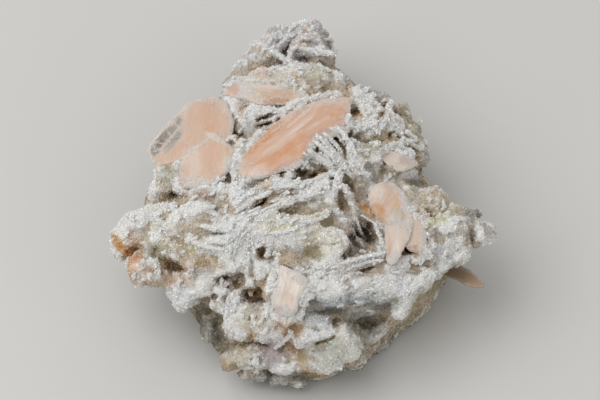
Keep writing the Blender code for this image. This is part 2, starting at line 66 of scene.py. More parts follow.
# The display face as the viewer sees it: how steeply the line of sight falls, the spot under the face's
# middle in mm, and the ways across, up and to the viewer.
SIGHT_RISE = math.radians(55.0)
HOME = np.array((-1.3, 12.0, 0.0))
ACROSS = np.array((1.0, 0.0, 0.0))
UP_FACE = np.array((0.0, math.sin(SIGHT_RISE), math.cos(SIGHT_RISE)))
TO_VIEWER = np.array((0.0, -math.cos(SIGHT_RISE), math.sin(SIGHT_RISE)))

# The crust's relief: sizes in mm of its swells, crags and knobs, broad and fine, and layers of noise, each a
# weight, a size in mm and a draw, that wobble the pits' walls and part the white druse from the clear.
SWELL_SIZE = 5.0
CRAG_SIZE = 2.6
BROAD_KNOBS = 3.4
FINE_KNOBS = 1.7
SMALL_KNOBS = 0.95
PIT_WOBBLE = ((0.26, 1.8, 31), (0.14, 0.8, 32))
COVER = ((0.55, 6.0, 21), (0.45, 2.6, 22), (0.25, 1.1, 23))

# A pit is sunk by these shares of its depth before and after the rods are laid, and its wall falls between
# these shares of its size. Those at least as deep as an open one keep clear of crust and small rods.
PIT_SHARE = 0.6
REOPENED = 0.3
PIT_WALL = (0.75, 1.1)
OPEN_DEPTH = 2.4

# Pits open to the viewer: across, up, half width, half rise, depth, turn in degrees.
PITS = [
    (-10.2, 26.4, 3.3, 0.75, 5, 17), (-10.5, 24.2, 2.6, 0.6, 4.6, 14), (-15, 28.2, 0.7, 0.4, 1.5, 10),
    (-11.4, 29.1, 0.7, 0.4, 1.5, 10), (-8.1, 29.4, 0.8, 0.45, 1.6, 10), (-5.7, 30.9, 0.8, 0.4, 1.6, 10),
    (-18.6, 20.4, 0.9, 1.1, 4, -20), (-20.4, 18.6, 1.1, 0.8, 4, -30), (-5.4, 9.3, 1, 1.4, 2.5, 0),
    (0.2, 9.3, 1, 1.1, 3, 0), (5.4, 9, 3.2, 1.5, 2.5, 10), (-12, 0.9, 2.7, 1.2, 3.6, 25),
    (-15.9, -0.4, 1.3, 0.5, 2, 30), (-14, -4.6, 0.9, 0.9, 2, 0), (10.6, 18.9, 1.9, 1.7, 3, -10),
    (4.8, 15.9, 0.8, 0.9, 2, 0), (13.6, 15, 0.8, 2.6, 2.8, 30), (17.2, 27.4, 2.4, 1.1, 2.6, 10),
    (25.2, 27.6, 1.3, 1.3, 2.6, -20), (27, 21.3, 1.6, 0.8, 2.4, -25), (12, 0, 0.9, 2, 3, 15),
    (14.6, 5.6, 1.2, 2.4, 2.6, 40), (-24, -8.4, 2.2, 0.8, 2.2, 5), (-24, -12.4, 2.7, 1.1, 2, -3),
    (-25.6, -5.1, 3, 0.4, 1.4, -6), (-37.4, -18.2, 3.2, 1.6, 3.5, -24), (-42.2, -19.8, 1.6, 0.8, 2, -10),
    (-48.6, -16, 1.2, 0.7, 2, -10), (-42.4, -14.6, 1.8, 2.2, 2, 30), (-25.2, -27.2, 1.3, 1, 2.5, 0),
    (-23.4, -21.8, 2.4, 1.3, 2.4, 20), (-19.6, -23.8, 2.6, 1.4, 2.2, 0), (-15.2, -26.2, 2.4, 1.9, 3, 20),
    (-11.4, -28.6, 2.6, 1, 3, 0), (-11.2, -14.6, 2.2, 2.2, 1.8, 0), (4.2, -13.8, 3, 3, 1.2, 0),
    (-14.4, -39.2, 1.5, 1.3, 1.6, 30), (7.4, -40, 3, 0.8, 2.4, 22), (10.4, -34.6, 1.5, 1.5, 3, 0),
    (-5.1, 48.8, 2.3, 1.8, 1.4, -20), (-4.2, 45, 1.4, 1.5, 1.4, 0), (2.2, 49, 2.5, 1.1, 2, -8),
    (0.8, 44.1, 2.2, 1.1, 2, -4), (6.8, 42.7, 1.5, 0.8, 1.6, -25), (1.5, 53.1, 0.6, 0.7, 1.5, 0),
    (-9, 41.7, 0.5, 0.6, 1.8, 0), (14.2, 35.1, 0.5, 1.3, 2, 0), (32.2, -13.4, 3.2, 1.8, 3, 15),
    (45.2, -9.2, 1, 0.9, 1.6, 0), (51.2, -9.4, 1.4, 1.8, 1.6, 0), (20, -8.2, 4.2, 3.6, 3, -45),
    (-7.2, 3.2, 2.2, 0.5, 1.4, 12), (7.6, 5, 1.6, 0.5, 1.4, 10), (-0.6, -30.6, 2, 0.5, 1.2, 10),
    (10.6, -11.4, 1.2, 0.5, 1.6, 5), (-6, -22.6, 0.5, 1.6, 1.6, 20), (33.4, 17.6, 2.4, 0.6, 1.6, 0),
]

# Rods of the lattice: each end's place across and up and its lift over the crust, then the radius. Each is
# run into the crust as a thinner core set lower, and laid on it again as a rod of its own.
RODS = [
    (-2.6, 47.6, 0.6, 11.2, 45.4, 0.4, 1.05), (-9.6, 46.4, 0.4, -3.6, 43.4, 0.4, 0.9),
    (-1.8, 47.4, 0.8, -3.2, 42.9, 0.6, 0.9), (-9.4, 44.6, 0.3, -2.4, 52.6, 0.3, 1),
    (1, 51.6, 0.4, 7.6, 50.4, 0.2, 0.9), (-1, 41.9, 0.5, 9.6, 40.8, 0.3, 1),
    (-18.6, 4.6, 0.5, -14.4, 8.2, 0.6, 0.8), (-18, 1.4, 0.5, -11, 5.6, 0.8, 0.8),
    (-17.4, -0.8, 0.5, -8, 4.2, 0.9, 0.85), (-8.8, 5.2, 0.7, 0.4, 5.6, 0.8, 0.85),
    (-1.2, 5.4, 0.9, 11, 10.2, 1.2, 1), (-9.6, 0.8, 0.4, 2.6, 2.4, 0.5, 0.8),
    (-13, -3, 0.4, 8, 4.6, 0.6, 0.75), (-9.6, -8.4, 0.4, 0, -6.4, 0.4, 0.8),
    (-0.4, -6.6, 0.4, 9.4, -1.6, 0.5, 0.8), (4.6, 21.4, 0.3, 12.8, 13.2, 0.9, 0.75),
    (7, 20.2, 0.3, 15.8, 7.8, 1, 1), (12.4, 21.6, 0.4, 15.8, 11.6, 1, 0.9),
    (15.2, 22.2, 1.4, 23.6, 25, 0.8, 0.9), (16, 16.2, 1.2, 30, 18.8, 0.8, 0.95),
    (10.6, 24, 0.3, 17, 13.8, 1.2, 0.85), (12.4, 11.4, 0.8, 10, 3, 0.6, 0.9),
    (20, 19.6, 0.8, 31, 26.2, 0.6, 1), (22, 15.6, 0.8, 36, 19.4, 0.5, 1),
    (24, 22.6, 0.7, 27.4, 31, 0.5, 1.1), (19, 25.6, 0.8, 21.4, 33, 0.5, 1.1),
    (-33, -10.4, 0.6, -19.4, -13.4, 0.8, 0.8), (-30, -6, 0.5, -18, -8, 0.6, 0.8),
    (-16.4, -16.6, 0.8, -14.2, -27.4, 0.6, 0.9), (-20.6, -19.4, 0.5, -17.6, -17, 0.5, 0.8),
    (-12.2, -18.6, 0.8, -10.4, -26.6, 1, 1), (-19.8, -25.6, 0.6, -21.8, -34, 0.6, 1.2),
    (-8.4, -18, 0.6, -9.4, -24, 0.6, 0.8), (40, -20.2, 0.3, 29, -27, 0.2, 1),
    (-44, -3, 0.3, -36, -9, 0.4, 0.9), (-47, -14, 0.3, -41.4, -21, 0.2, 0.9),
    (0, -40, 0.4, 10, -38, 0.3, 1), (-8, -43, 0.3, -2, -38.4, 0.3, 1), (-30, 1.2, 0.4, -24, -3.4, 0.4, 0.9),
    (-11.4, -2.1, 0.5, 0, -0.2, 0.5, 0.7), (0.9, 2.1, 0.6, 9, 5.4, 0.8, 0.8),
    (-13.5, -5.1, 0.5, -9, -2.4, 0.6, 0.7), (-7.5, -6.3, 0.5, 0, -3.9, 0.5, 0.7),
    (0, -5.1, 0.5, 9, -2.1, 0.5, 0.8), (-19.2, -2.1, 0.5, -15, 0.3, 0.6, 0.8),
    (-21.6, -6.3, 0.5, -16.2, -3.3, 0.6, 0.9), (-22.2, -9.9, 0.6, -18, -8.1, 0.6, 0.8),
    (15.6, 15.9, 0.8, 19.2, 9.9, 0.6, 1), (14.6, 25.5, 0.6, 17.1, 20.7, 1, 1.2),
    (9, 13.5, 1, 13.5, 8.1, 0.8, 0.9), (6, 17.5, 0.3, 9.9, 10.5, 1, 0.9), (0.4, 15.4, 0.3, 9, 11.7, 1, 0.8),
    (18.6, 18.9, 0.8, 30, 23.7, 0.8, 0.9), (25.2, 26.1, 0.8, 31.2, 20.7, 0.6, 1.1),
    (19.8, 23.7, 0.8, 25.2, 26.1, 0.8, 0.9), (16.8, 31.5, 0.6, 19.8, 26.1, 0.6, 1),
    (21, 31.5, 0.6, 25.2, 27.9, 0.6, 1), (26.4, 31.5, 0.5, 30, 27.3, 0.5, 1),
    (31.2, 19.5, 0.6, 37.2, 16.5, 0.4, 1), (31.5, 22.5, 0.6, 35.4, 19.5, 0.4, 0.9),
    (4, 19.4, 0.5, 12, 12, 1, 0.8), (2, 16.6, 0.5, 10, 9.5, 1, 0.9), (6.6, 21.8, 0.5, 13, 15, 1, 0.8),
    (-0.4, 13.6, 0.4, 6.6, 9.6, 1, 0.8), (8.6, 23.4, 0.4, 13.6, 17.6, 0.8, 0.7),
    (3, 13.4, 0.6, 8.8, 14.6, 0.8, 0.7), (16.6, -3.4, 0.3, 19.6, -10.6, 1, 0.5),
    (18, -2.8, 0.3, 23.4, -5.9, 0.8, 0.45), (22.3, -6.4, 0.4, 25, -12.8, 0.8, 0.6),
    (15.4, -5.2, 0.3, 18.4, -9.4, 1, 0.42), (11.4, -17.4, 0.5, 25.8, -14, 0.6, 0.75),
    (13.2, -19.4, 0.4, 25.4, -16.2, 0.4, 0.7), (22, -4.6, 0.4, 25, -12.6, 0.2, 0.7),
    (-3.4, -36.6, 0.3, -0.6, -41.6, 0.3, 0.9),
]
ROD_SIDES = 8
ROD_RINGS = 9
ROD_BEND = 0.12
ABOVE_ALL = 120.0
ROD_BUMPS = ((0.34, 0.9), (0.24, 0.4))
CORE_SHARE = 0.7
CORE_DROP = -0.4

# Fields of smaller rods: across, up, half width, half rise, slant and its spread in degrees, how many,
# shortest and longest, thinnest and thickest radius.
ROD_FIELDS = [
    (-4, 6.6, 16, 6.4, 24, 26, 84, 1.8, 5, 0.36, 0.64), (8, 16.5, 8.5, 8.5, 125, 34, 46, 1.8, 5, 0.4, 0.72),
    (24, 22, 12, 14, 35, 26, 52, 1.6, 4.2, 0.5, 0.85), (26, 20, 13, 14, 130, 26, 40, 1.6, 4, 0.5, 0.85),
    (-22, 1, 9.5, 9, 40, 42, 48, 1.8, 4.6, 0.45, 0.75), (-8, -7, 10, 8, 30, 28, 20, 1.8, 4.4, 0.34, 0.5),
    (-13, -22, 12, 13, 82, 24, 52, 2.2, 6, 0.5, 0.85), (17, -22, 16, 8, 25, 34, 34, 1.6, 4.4, 0.4, 0.65),
    (-41, -14, 14, 15, 20, 80, 26, 1.6, 3.4, 0.45, 0.7), (-3, -44, 22, 10, 20, 80, 18, 1.6, 3.4, 0.4, 0.7),
    (-2, 46, 12, 10, 10, 70, 46, 1.5, 4, 0.4, 0.75), (44, -9, 13, 16, 30, 80, 20, 1.6, 3.4, 0.45, 0.7),
    (19, -10, 8, 7, -50, 24, 15, 3, 6, 0.28, 0.46), (-17, 22, 3, 6, 60, 40, 12, 1.2, 2.6, 0.4, 0.6),
]
FIELD_SEED = 5

# Where the stilbites sit, since the druse grew round them: each sheaf's outline as places across, up
# and high, then the rise of its crown and the depth of its keel.
SHEAVES = {
    "stilbite_main_blade": [
        ([(15.6, 31.5, 46.5), (14.7, 32.4, 46.4), (10.5, 32.1, 46.6), (6.6, 31.8, 46.8), (0, 29.4, 47),
          (-4.5, 27, 47), (-9, 23.1, 47), (-13.5, 18.6, 47), (-16.8, 15, 46.6), (-18.3, 12.6, 46.2),
          (-18.6, 9.9, 45.8), (-17.1, 7.5, 45.6), (-11.4, 7.5, 46.6), (-6, 10, 47.2), (-2.4, 10.2, 47.4),
          (0.4, 11.4, 47.6), (1, 14, 48), (4, 17.4, 48.6), (9, 19.6, 48.6), (12, 21.4, 48.4),
          (14.8, 26.1, 47.6)], 2.8, 5),
    ],
    "stilbite_left_pair": [
        ([(-45.9, 16.3, 36), (-45, 18.4, 36), (-39, 25.5, 38), (-33.6, 30.9, 39), (-30, 32.1, 39.4),
          (-25.2, 32.6, 40), (-21.6, 30.2, 41), (-19.6, 25, 42), (-20.6, 19.8, 42.4), (-24, 16.6, 42),
          (-34, 13.6, 39.4), (-42.4, 11, 36.6), (-44.4, 13.2, 36)], 2.2, 5),
        ([(-36.2, 13.4, 40.4), (-33, 16.5, 41.4), (-28.5, 19.6, 42.6), (-25.2, 21.7, 43.4),
          (-18.8, 16, 44), (-19.6, 13.4, 43.8), (-21, 9.9, 43), (-25.5, 6, 42), (-30, 4.5, 41),
          (-34.5, 5.1, 40), (-36, 7.5, 40)], 2.2, 5.4),
    ],
    "stilbite_top_blade": [
        ([(-23.4, 34.4, 38.4), (-21.4, 36.4, 38.6), (-18, 37.6, 39.2), (-7.5, 36.2, 41), (0, 35, 42),
          (3.8, 32.2, 43), (1.5, 30.5, 43.4), (-4.5, 30, 43), (-12.6, 29.8, 42), (-15.4, 31.4, 41),
          (-22.8, 33, 38.8)], 1.6, 4),
    ],
    "stilbite_right_pair": [
        ([(21.2, 5.2, 41.7), (24, 7, 41.3), (27.4, 6.8, 40.7), (30, 4.8, 40.3), (32, 2.2, 40.3),
          (33, -1.4, 40.5), (32, -4.6, 40.7), (28.6, -6.4, 41.2), (25.4, -6.4, 41.7), (22.8, -4.2, 41.7),
          (20.7, 0, 42.1), (20.1, 2.8, 42.1)], 1.8, 5),
        ([(26, -1, 42), (31, 0.4, 41.6), (34, -3.6, 41.2), (33, -9, 41.2), (30.4, -13.5, 41),
          (29.1, -16.2, 40.6), (27.6, -17.8, 40.2), (25.6, -17.1, 40.2), (25.2, -13.5, 41),
          (25.2, -6, 41.8)], 1.1, 5),
        ([(29.4, -1.6, 41.2), (34.4, -2.4, 40.8), (37.4, -6.8, 40), (37.6, -12.4, 39.4),
          (35.4, -14.4, 39.4), (31.6, -13.4, 40), (29, -8, 40.8)], 0.9, 4),
    ],
    "stilbite_right_small": [
        ([(23.2, 14.6, 43.6), (25.5, 16.9, 42.8), (30, 15.4, 41.4), (34, 14.3, 39.8), (35.6, 12, 39),
          (31.5, 10.1, 40.4), (29.1, 9.8, 41.2), (26.2, 11.8, 42.6)], 1.4, 5),
    ],
    "stilbite_lower_middle": [
        ([(-6, -17.4, 41.4), (-3.4, -18.6, 41.6), (0, -20, 41), (2.7, -22.5, 40), (1.4, -25.6, 38.6),
          (-0.6, -28.5, 37), (-0.5, -31, 35), (-2.3, -33, 33.4), (-4.8, -33, 33.4), (-8.1, -30, 35),
          (-8.5, -27.4, 36.6), (-6.9, -24, 38.4), (-6.3, -20.1, 40.4)], 1.6, 5),
    ],
    "stilbite_lower_right_spear": [
        ([(40, -17.6, 21), (48.3, -18.2, 21), (51, -19.4, 21), (52.8, -21, 21), (54, -22.8, 21),
          (55.4, -23.4, 21), (55, -24.7, 21), (52.8, -25, 21), (49.6, -24.2, 21), (47, -22.6, 21),
          (41, -20.6, 21)], 1.6, 2),
    ],
}

# Stretches of rim that the druse left free: circles across, up and radius.
FREE_RIMS = [
    (-40, 20, 9.5), (-33, 28, 8), (-27, 33, 5.5), (51, -22, 7), (-37, 9, 3.6), (14, 31, 3), (30, -16, 3),
    (35, 13, 3), (25, 14.6, 3.4), (-31, 17.6, 5), (-25, 21.6, 4.4), (-10.5, 24.8, 3.4), (28.6, -3.4, 3.4),
    (31.6, -9, 3.6), (30.6, -13, 2.4),
]
RIM_SHARE = 0.86

# The beads of crust round a stilbite: their gap, the size of their clumps and from what level one climbs.
BEAD_GAP = 0.8
CLUMP_SIZE = 4.0
CLIMB_FROM = -0.1
BEAD_SEED = 8


def face_point(across, up, height):
    """The place in metres of spots on the display face: deep = up / sin(rise) - height / tan(rise)."""
    across, up, height = np.broadcast_arrays(across, up, height)
    deep = up / math.sin(SIGHT_RISE) - height / math.tan(SIGHT_RISE)
    return (np.stack([across, deep, height], -1) + HOME) * MM


def face_of(points):
    """How far across and up the display face points lie, in mm: the way back from face_point."""
    across, deep, height = (points / MM - HOME).T
    return across, deep * math.sin(SIGHT_RISE) + height * math.cos(SIGHT_RISE)


def rise_between(value, low, high):
    """0 below low, 1 above high, and 3t^2 - 2t^3 between them."""
    t = np.clip((value - low) / (high - low), 0, 1)
    return t * t * (3 - 2 * t)


def hashed(cells, salt):
    """A fair random number from 0 to 1 for each cell: its three whole numbers mixed by large odd ones."""
    x, y, z = cells.astype(np.int64).T
    mixed = (x * 374761393 + y * 668265263 + z * 2147483647 + salt * 1274126177) & 0xFFFFFFFF
    mixed = ((mixed ^ (mixed >> 13)) * 1103515245) & 0xFFFFFFFF
    mixed = ((mixed ^ (mixed >> 15)) * 1640531513) & 0xFFFFFFFF
    return ((mixed ^ (mixed >> 16)) & 0xFFFFFF) / 0xFFFFFF


def soft_noise(points, size, salt):
    """Smooth noise from -1 to 1: random numbers at the corners of cells of this size in mm, blended."""
    place = points / (size * MM)
    cell = np.floor(place)
    t = place - cell
    t = t * t * (3 - 2 * t)
    total = np.zeros(len(points))
    for corner in np.ndindex(2, 2, 2):
        weight = np.prod(np.where(np.array(corner) == 1, t, 1 - t), axis=1)
        total += weight * hashed(cell + corner, salt)
    return 2 * total - 1


def layered(points, layers):
    """Noise in layers, each a weight, a size in mm and a draw: the sum of weight times noise."""
    return sum(weight * soft_noise(points, size, salt) for weight, size, salt in layers)


def knobs(points, size, salt):
    """Round knobs from 0 to 1, one to a cell of this size: the root of 1 - distance^2 / 0.64."""
    place = points / (size * MM)
    cell = np.floor(place)
    nearest = np.full(len(points), 9.0)
    for step in np.ndindex(3, 3, 3):
        near = cell + step - 1
        middle = near + np.stack([hashed(near, salt + k) for k in range(3)], 1)
        nearest = np.minimum(nearest, ((place - middle) ** 2).sum(1))
    return np.sqrt(np.clip(1 - nearest / 0.64, 0, 1))


def ellipse(across, up, middle_across, middle_up, wide, rise, turn):
    """How far out places lie from an ellipse's middle, as a share of its half sizes, after its turn."""
    cos, sin = math.cos(math.radians(turn)), math.sin(math.radians(turn))
    right, above = across - middle_across, up - middle_up
    return np.hypot((right * cos + above * sin) / wide, (above * cos - right * sin) / rise)


def new_mesh(name, points, triangles, smooth):
    """A mesh of these corners and triangles."""
    mesh = bpy.data.meshes.new(name)
    mesh.vertices.add(len(points))
    mesh.vertices.foreach_set("co", points.astype(np.float32).ravel())
    mesh.loops.add(triangles.size)
    mesh.loops.foreach_set("vertex_index", triangles.astype(np.int32).ravel())
    mesh.polygons.add(len(triangles))
    mesh.polygons.foreach_set("loop_start", np.arange(len(triangles), dtype=np.int32) * 3)
    mesh.polygons.foreach_set("use_smooth", np.full(len(triangles), smooth))
    mesh.update(calc_edges=True)
    return mesh


def moved(mesh, points):
    """The mesh's corners set at these points."""
    mesh.vertices.foreach_set("co", points.astype(np.float32).ravel())
    mesh.update()


def shown(name, data):
    """A new object in the scene that holds this mesh, lamp or camera."""
    holder = bpy.data.objects.new(name, data)
    bpy.context.scene.collection.objects.link(holder)
    return holder


def worked(mesh, kind, **settings):
    """The mesh with one modifier worked into it."""
    holder = shown("worked", mesh)
    modifier = holder.modifiers.new(kind, kind)
    for name, value in settings.items():
        setattr(modifier, name, value)
    graph = bpy.context.evaluated_depsgraph_get()
    made = bpy.data.meshes.new_from_object(holder.evaluated_get(graph))
    bpy.data.objects.remove(holder)
    return made


def corners_of(mesh):
    """The mesh's corners and their normals, as arrays."""
    rows = np.empty((2, len(mesh.vertices) * 3), np.float32)
    mesh.vertices.foreach_get("co", rows[0])
    mesh.vertex_normals.foreach_get("vector", rows[1])
    return rows.reshape(2, -1, 3).astype(float)


def triangles_of(mesh):
    """The mesh's faces as triangles of corner numbers."""
    mesh.calc_loop_triangles()
    triangles = np.empty(len(mesh.loop_triangles) * 3, np.int32)
    mesh.loop_triangles.foreach_get("vertices", triangles)
    return triangles.reshape(-1, 3)


def stacked(parts):
    """Several pairs of points and triangles as one pair."""
    starts = np.cumsum([0] + [len(points) for points, triangles in parts])
    points = np.concatenate([points for points, triangles in parts])
    return points, np.concatenate([triangles + start for (_, triangles), start in zip(parts, starts)])


def joined(name, meshes):
    """One mesh of several, not yet grown together."""
    return new_mesh(name, *stacked([(corners_of(mesh)[0], triangles_of(mesh)) for mesh in meshes]), True)


def boxed(points, margin, foot):
    """Points held inside the solids' box by a margin, and above a foot, both in mm."""
    low, high = np.array(cad_low) + margin * MM, np.array(cad_high) - margin * MM
    low[2] = foot * MM
    return np.clip(points, low, high)


def unit(vectors):
    """The vectors at length 1."""
    return vectors / np.linalg.norm(vectors, axis=1, keepdims=True)


def merged_copy(node):
    """A copy of a solid's mesh with its loose triangles merged."""
    work = bmesh.new()
    work.from_mesh(node.data)
    bmesh.ops.remove_doubles(work, verts=work.verts, dist=1e-6)
    made = bpy.data.meshes.new(node.name + "_copy")
    work.to_mesh(made)
    work.free()
    return made


def sight_heights(mesh):
    """Finds the height in mm where the line of sight meets the mesh, at a place across and up the face."""
    tree = BVHTree.FromPolygons(corners_of(mesh)[0].tolist(), triangles_of(mesh).tolist())

    def height_at(across, up):
        for share in (1.0, 0.97, 0.94, 0.9, 0.85):
            start = Vector(face_point(across * share, up * share, ABOVE_ALL))
            hit = tree.ray_cast(start, Vector(-TO_VIEWER))[0]
            if hit:
                return hit.z / MM
        return 0.0

    return height_at


def ring_corners(rings, sides):
    """Corner numbers of rings set one after another: four for each side of each wall, which are its near and
    next corner here and on the ring after, then the near and next ones of the first ring and of the last."""
    ring, spot = np.meshgrid(np.arange(rings - 1), np.arange(sides), indexing="ij")
    a, b = ring * sides + spot, ring * sides + (spot + 1) % sides
    first = np.stack([np.arange(sides), (np.arange(sides) + 1) % sides])
    return (a, b, a + sides, b + sides), first, first + (rings - 1) * sides


def tubes(low, high, radius, salt):
    """Round-tipped rods from low to high, all at once: rings of radius r * sqrt(1 - (2s - 1)^8) * (1 + bumps)
    at shares s of the length, bent sideways by a share of the length times sin(pi s)."""
    along = high - low
    length = np.linalg.norm(along, axis=1, keepdims=True)
    along = along / length
    side = unit(np.cross(along, np.where(np.abs(along[:, 2:]) < 0.9, (0.0, 0.0, 1.0), (1.0, 0.0, 0.0))))
    other = np.cross(along, side)
    share = np.linspace(0, 1, ROD_RINGS + 2)[1:-1]
    turn = np.arange(ROD_SIDES) * 2 * math.pi / ROD_SIDES
    sway = soft_noise(low, 0.7, salt + 9) * ROD_BEND * length[:, 0]
    bend = np.sin(np.pi * share)[:, None] * sway[:, None, None]
    reach = low[:, None] + (high - low)[:, None] * share[:, None] + bend * side[:, None]
    ring = radius[:, None] * np.sqrt(1 - np.abs(2 * share - 1) ** 8)
    out = side[:, None] * np.cos(turn)[:, None] + other[:, None] * np.sin(turn)[:, None]
    points = reach[:, :, None] + ring[:, :, None, None] * out[:, None]
    bumps = layered(points.reshape(-1, 3), [(*bump, salt) for bump in ROD_BUMPS]).reshape(points.shape[:3])
    points = reach[:, :, None] + (ring[:, :, None] * (1 + bumps))[..., None] * out[:, None]
    count, rings, sides = points.shape[:3]
    whole = np.concatenate([points.reshape(count, -1, 3), np.stack([low, high], 1)], 1)
    (a, b, c, d), (spot, after), (last, last_after) = ring_corners(rings, sides)
    wall = np.concatenate([np.stack([a, b, d], -1), np.stack([a, d, c], -1)])
    foot = np.stack([after, spot, np.full(sides, rings * sides)], -1)
    tip = np.stack([last, last_after, np.full(sides, rings * sides + 1)], -1)
    one = np.concatenate([wall.reshape(-1, 3), foot, tip])
    many = one[None] + (np.arange(count) * whole.shape[1])[:, None, None]
    return new_mesh("rods", whole.reshape(-1, 3), many.reshape(-1, 3), True)


def face_crosses(points, triangles):
    """Each triangle's normal, as long as twice its area."""
    corners = points[triangles]
    return np.cross(corners[:, 1] - corners[:, 0], corners[:, 2] - corners[:, 0])


def surface_spots(points, triangles, weight, count, chance):
    """Spots chosen by chance in proportion to area times weight, with the number of the triangle of each."""
    odds = np.linalg.norm(face_crosses(points, triangles), axis=1) * weight
    face = chance.choice(len(triangles), count, p=odds / odds.sum())
    u, v = chance.random((2, count))
    u, v = np.where(u + v > 1, 1 - u, u), np.where(u + v > 1, 1 - v, v)
    one, two, three = points[triangles[face]].transpose(1, 0, 2)
    return one + (two - one) * u[:, None] + (three - one) * v[:, None], face


def face_normals(points, triangles):
    """Each triangle's unit normal."""
    normal = face_crosses(points, triangles)
    return normal / np.maximum(np.linalg.norm(normal, axis=1, keepdims=True), 1e-30)


def push_pits(points, normals, share):
    """Points moved away from the viewer inside each pit, by a share of its depth with a steep wall."""
    across, up = face_of(points)
    facing = rise_between(normals @ TO_VIEWER, -0.1, 0.25)
    wobble = layered(points, PIT_WOBBLE)
    push = np.zeros(len(points))
    for *place, depth, turn in PITS:
        out = ellipse(across, up, *place, turn)
        push = np.maximum(push, share * depth * (1 - rise_between(out + wobble, *PIT_WALL)))
    return points - (push * facing * MM)[:, None] * TO_VIEWER


def in_pit(across, up, reach):
    """Whether places lie in an open pit, drawn out or in to a share of its size."""
    return np.any([
        ellipse(across, up, *place, turn) < reach for *place, depth, turn in PITS if depth >= OPEN_DEPTH
    ], axis=0)


def by_free_rim(across, up):
    """Whether places lie by a rim that the druse left free."""
    return np.any([np.hypot(across - x, up - y) < reach for x, y, reach in FREE_RIMS], axis=0)


def broad_form():
    """The solid's form with its facets melted, swells, knobs and crags a few mm wide, and the pits. A crag is
    0.5 - |noise|, so it has a sharp crest."""
    matrix = merged_copy(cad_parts["chalcedony_matrix"])
    mesh = worked(matrix, "REMESH", mode="VOXEL", voxel_size=BROAD_STEP * MM)
    mesh = worked(mesh, "SMOOTH", factor=0.5, iterations=8)
    points, normals = corners_of(mesh)
    crags = 0.5 - np.abs(soft_noise(points, CRAG_SIZE, 9))
    swell = 0.5 * soft_noise(points, SWELL_SIZE, 1) + 0.8 * knobs(points, BROAD_KNOBS, 2) + 0.8 * crags - 0.55
    points = push_pits(points + normals * (swell * MM)[:, None], normals, PIT_SHARE)
    return new_mesh("broad", points, triangles_of(mesh), True)


def lattice_rods(height_at, share, drop):
    """The rods of the lattice, laid on the crust, at a share of their radius and lifted by the drop."""
    rows = np.array(RODS)
    low, high = (
        np.array([face_point(across, up, height_at(across, up) + lift + drop) for across, up, lift in ends])
        for ends in (rows[:, :3], rows[:, 3:6])
    )
    return tubes(low, high, rows[:, 6] * share * MM, 3)


def within(outline, across, up, share):
    """Whether places lie inside the outline, drawn in to a share of its size: they cross an odd number of
    sides on their way up."""
    line = np.array(outline)[:, :2]
    line = line.mean(0) + (line - line.mean(0)) * share
    after = np.roll(line, -1, 0)
    inside = np.zeros(len(across), bool)
    for (x1, y1), (x2, y2) in zip(line, after):
        if y1 != y2:
            inside ^= ((up > y1) != (up > y2)) & (across < (x2 - x1) * (up - y1) / (y2 - y1) + x1)
    return inside


def field_rods(points, triangles):
    """The smaller rods: laid over the crust and the stilbites' rims at their field's slant, one end sunk in,
    and left out in open pits, by free rims and over the middles of the stilbites."""
    chance = np.random.default_rng(FIELD_SEED)
    normals = face_normals(points, triangles)
    across, up = face_of(points[triangles].mean(1))
    facing = rise_between(normals @ TO_VIEWER, 0.0, 0.4)
    lows, highs, radii = [], [], []
    for *place, slant, spread, count, short, long, thin, thick in ROD_FIELDS:
        weight = facing * (ellipse(across, up, *place, 0) < 1)
        spots, face = surface_spots(points, triangles, weight, count, chance)
        angle = np.radians(slant + spread * chance.uniform(-1, 1, count))
        along = np.cos(angle)[:, None] * ACROSS + np.sin(angle)[:, None] * UP_FACE
        along += normals[face] * (chance.uniform(0.0, 0.5, count) * chance.choice((-1, 1), count))[:, None]
        along = unit(along)
        length = chance.uniform(short, long, count) * MM
        radius = chance.uniform(thin, thick, count)
        lift = chance.uniform(-0.3, 0.6, count)
        middle = spots + normals[face] * (lift * MM)[:, None]
        there = face_of(middle)
        clear = ~(in_pit(*there, 1.3) | by_free_rim(*there))
        for outline, crown, keel in sum(SHEAVES.values(), []):
            clear &= ~within(outline, *there, RIM_SHARE)
        lows.append((middle - along * length[:, None] / 2)[clear])
        highs.append((middle + along * length[:, None] / 2)[clear])
        radii.append(radius[clear])
    return tubes(np.concatenate(lows), np.concatenate(highs), np.concatenate(radii) * MM, 4)


def rounded(outline, rounds, steps):
    """A closed outline with its corners cut, so that each side keeps its quarter points, then set out at even
    steps."""
    line = np.array(outline, float)
    for _ in range(rounds):
        after = np.roll(line, -1, 0)
        line = np.stack([0.75 * line + 0.25 * after, 0.25 * line + 0.75 * after], 1).reshape(-1, 3)
    closed = np.vstack([line, line[:1]])
    length = np.concatenate([[0], np.cumsum(np.linalg.norm(np.diff(closed, axis=0), axis=1))])
    at = np.arange(steps) * length[-1] / steps
    return np.stack([np.interp(at, length, closed[:, axis]) for axis in range(3)], 1)


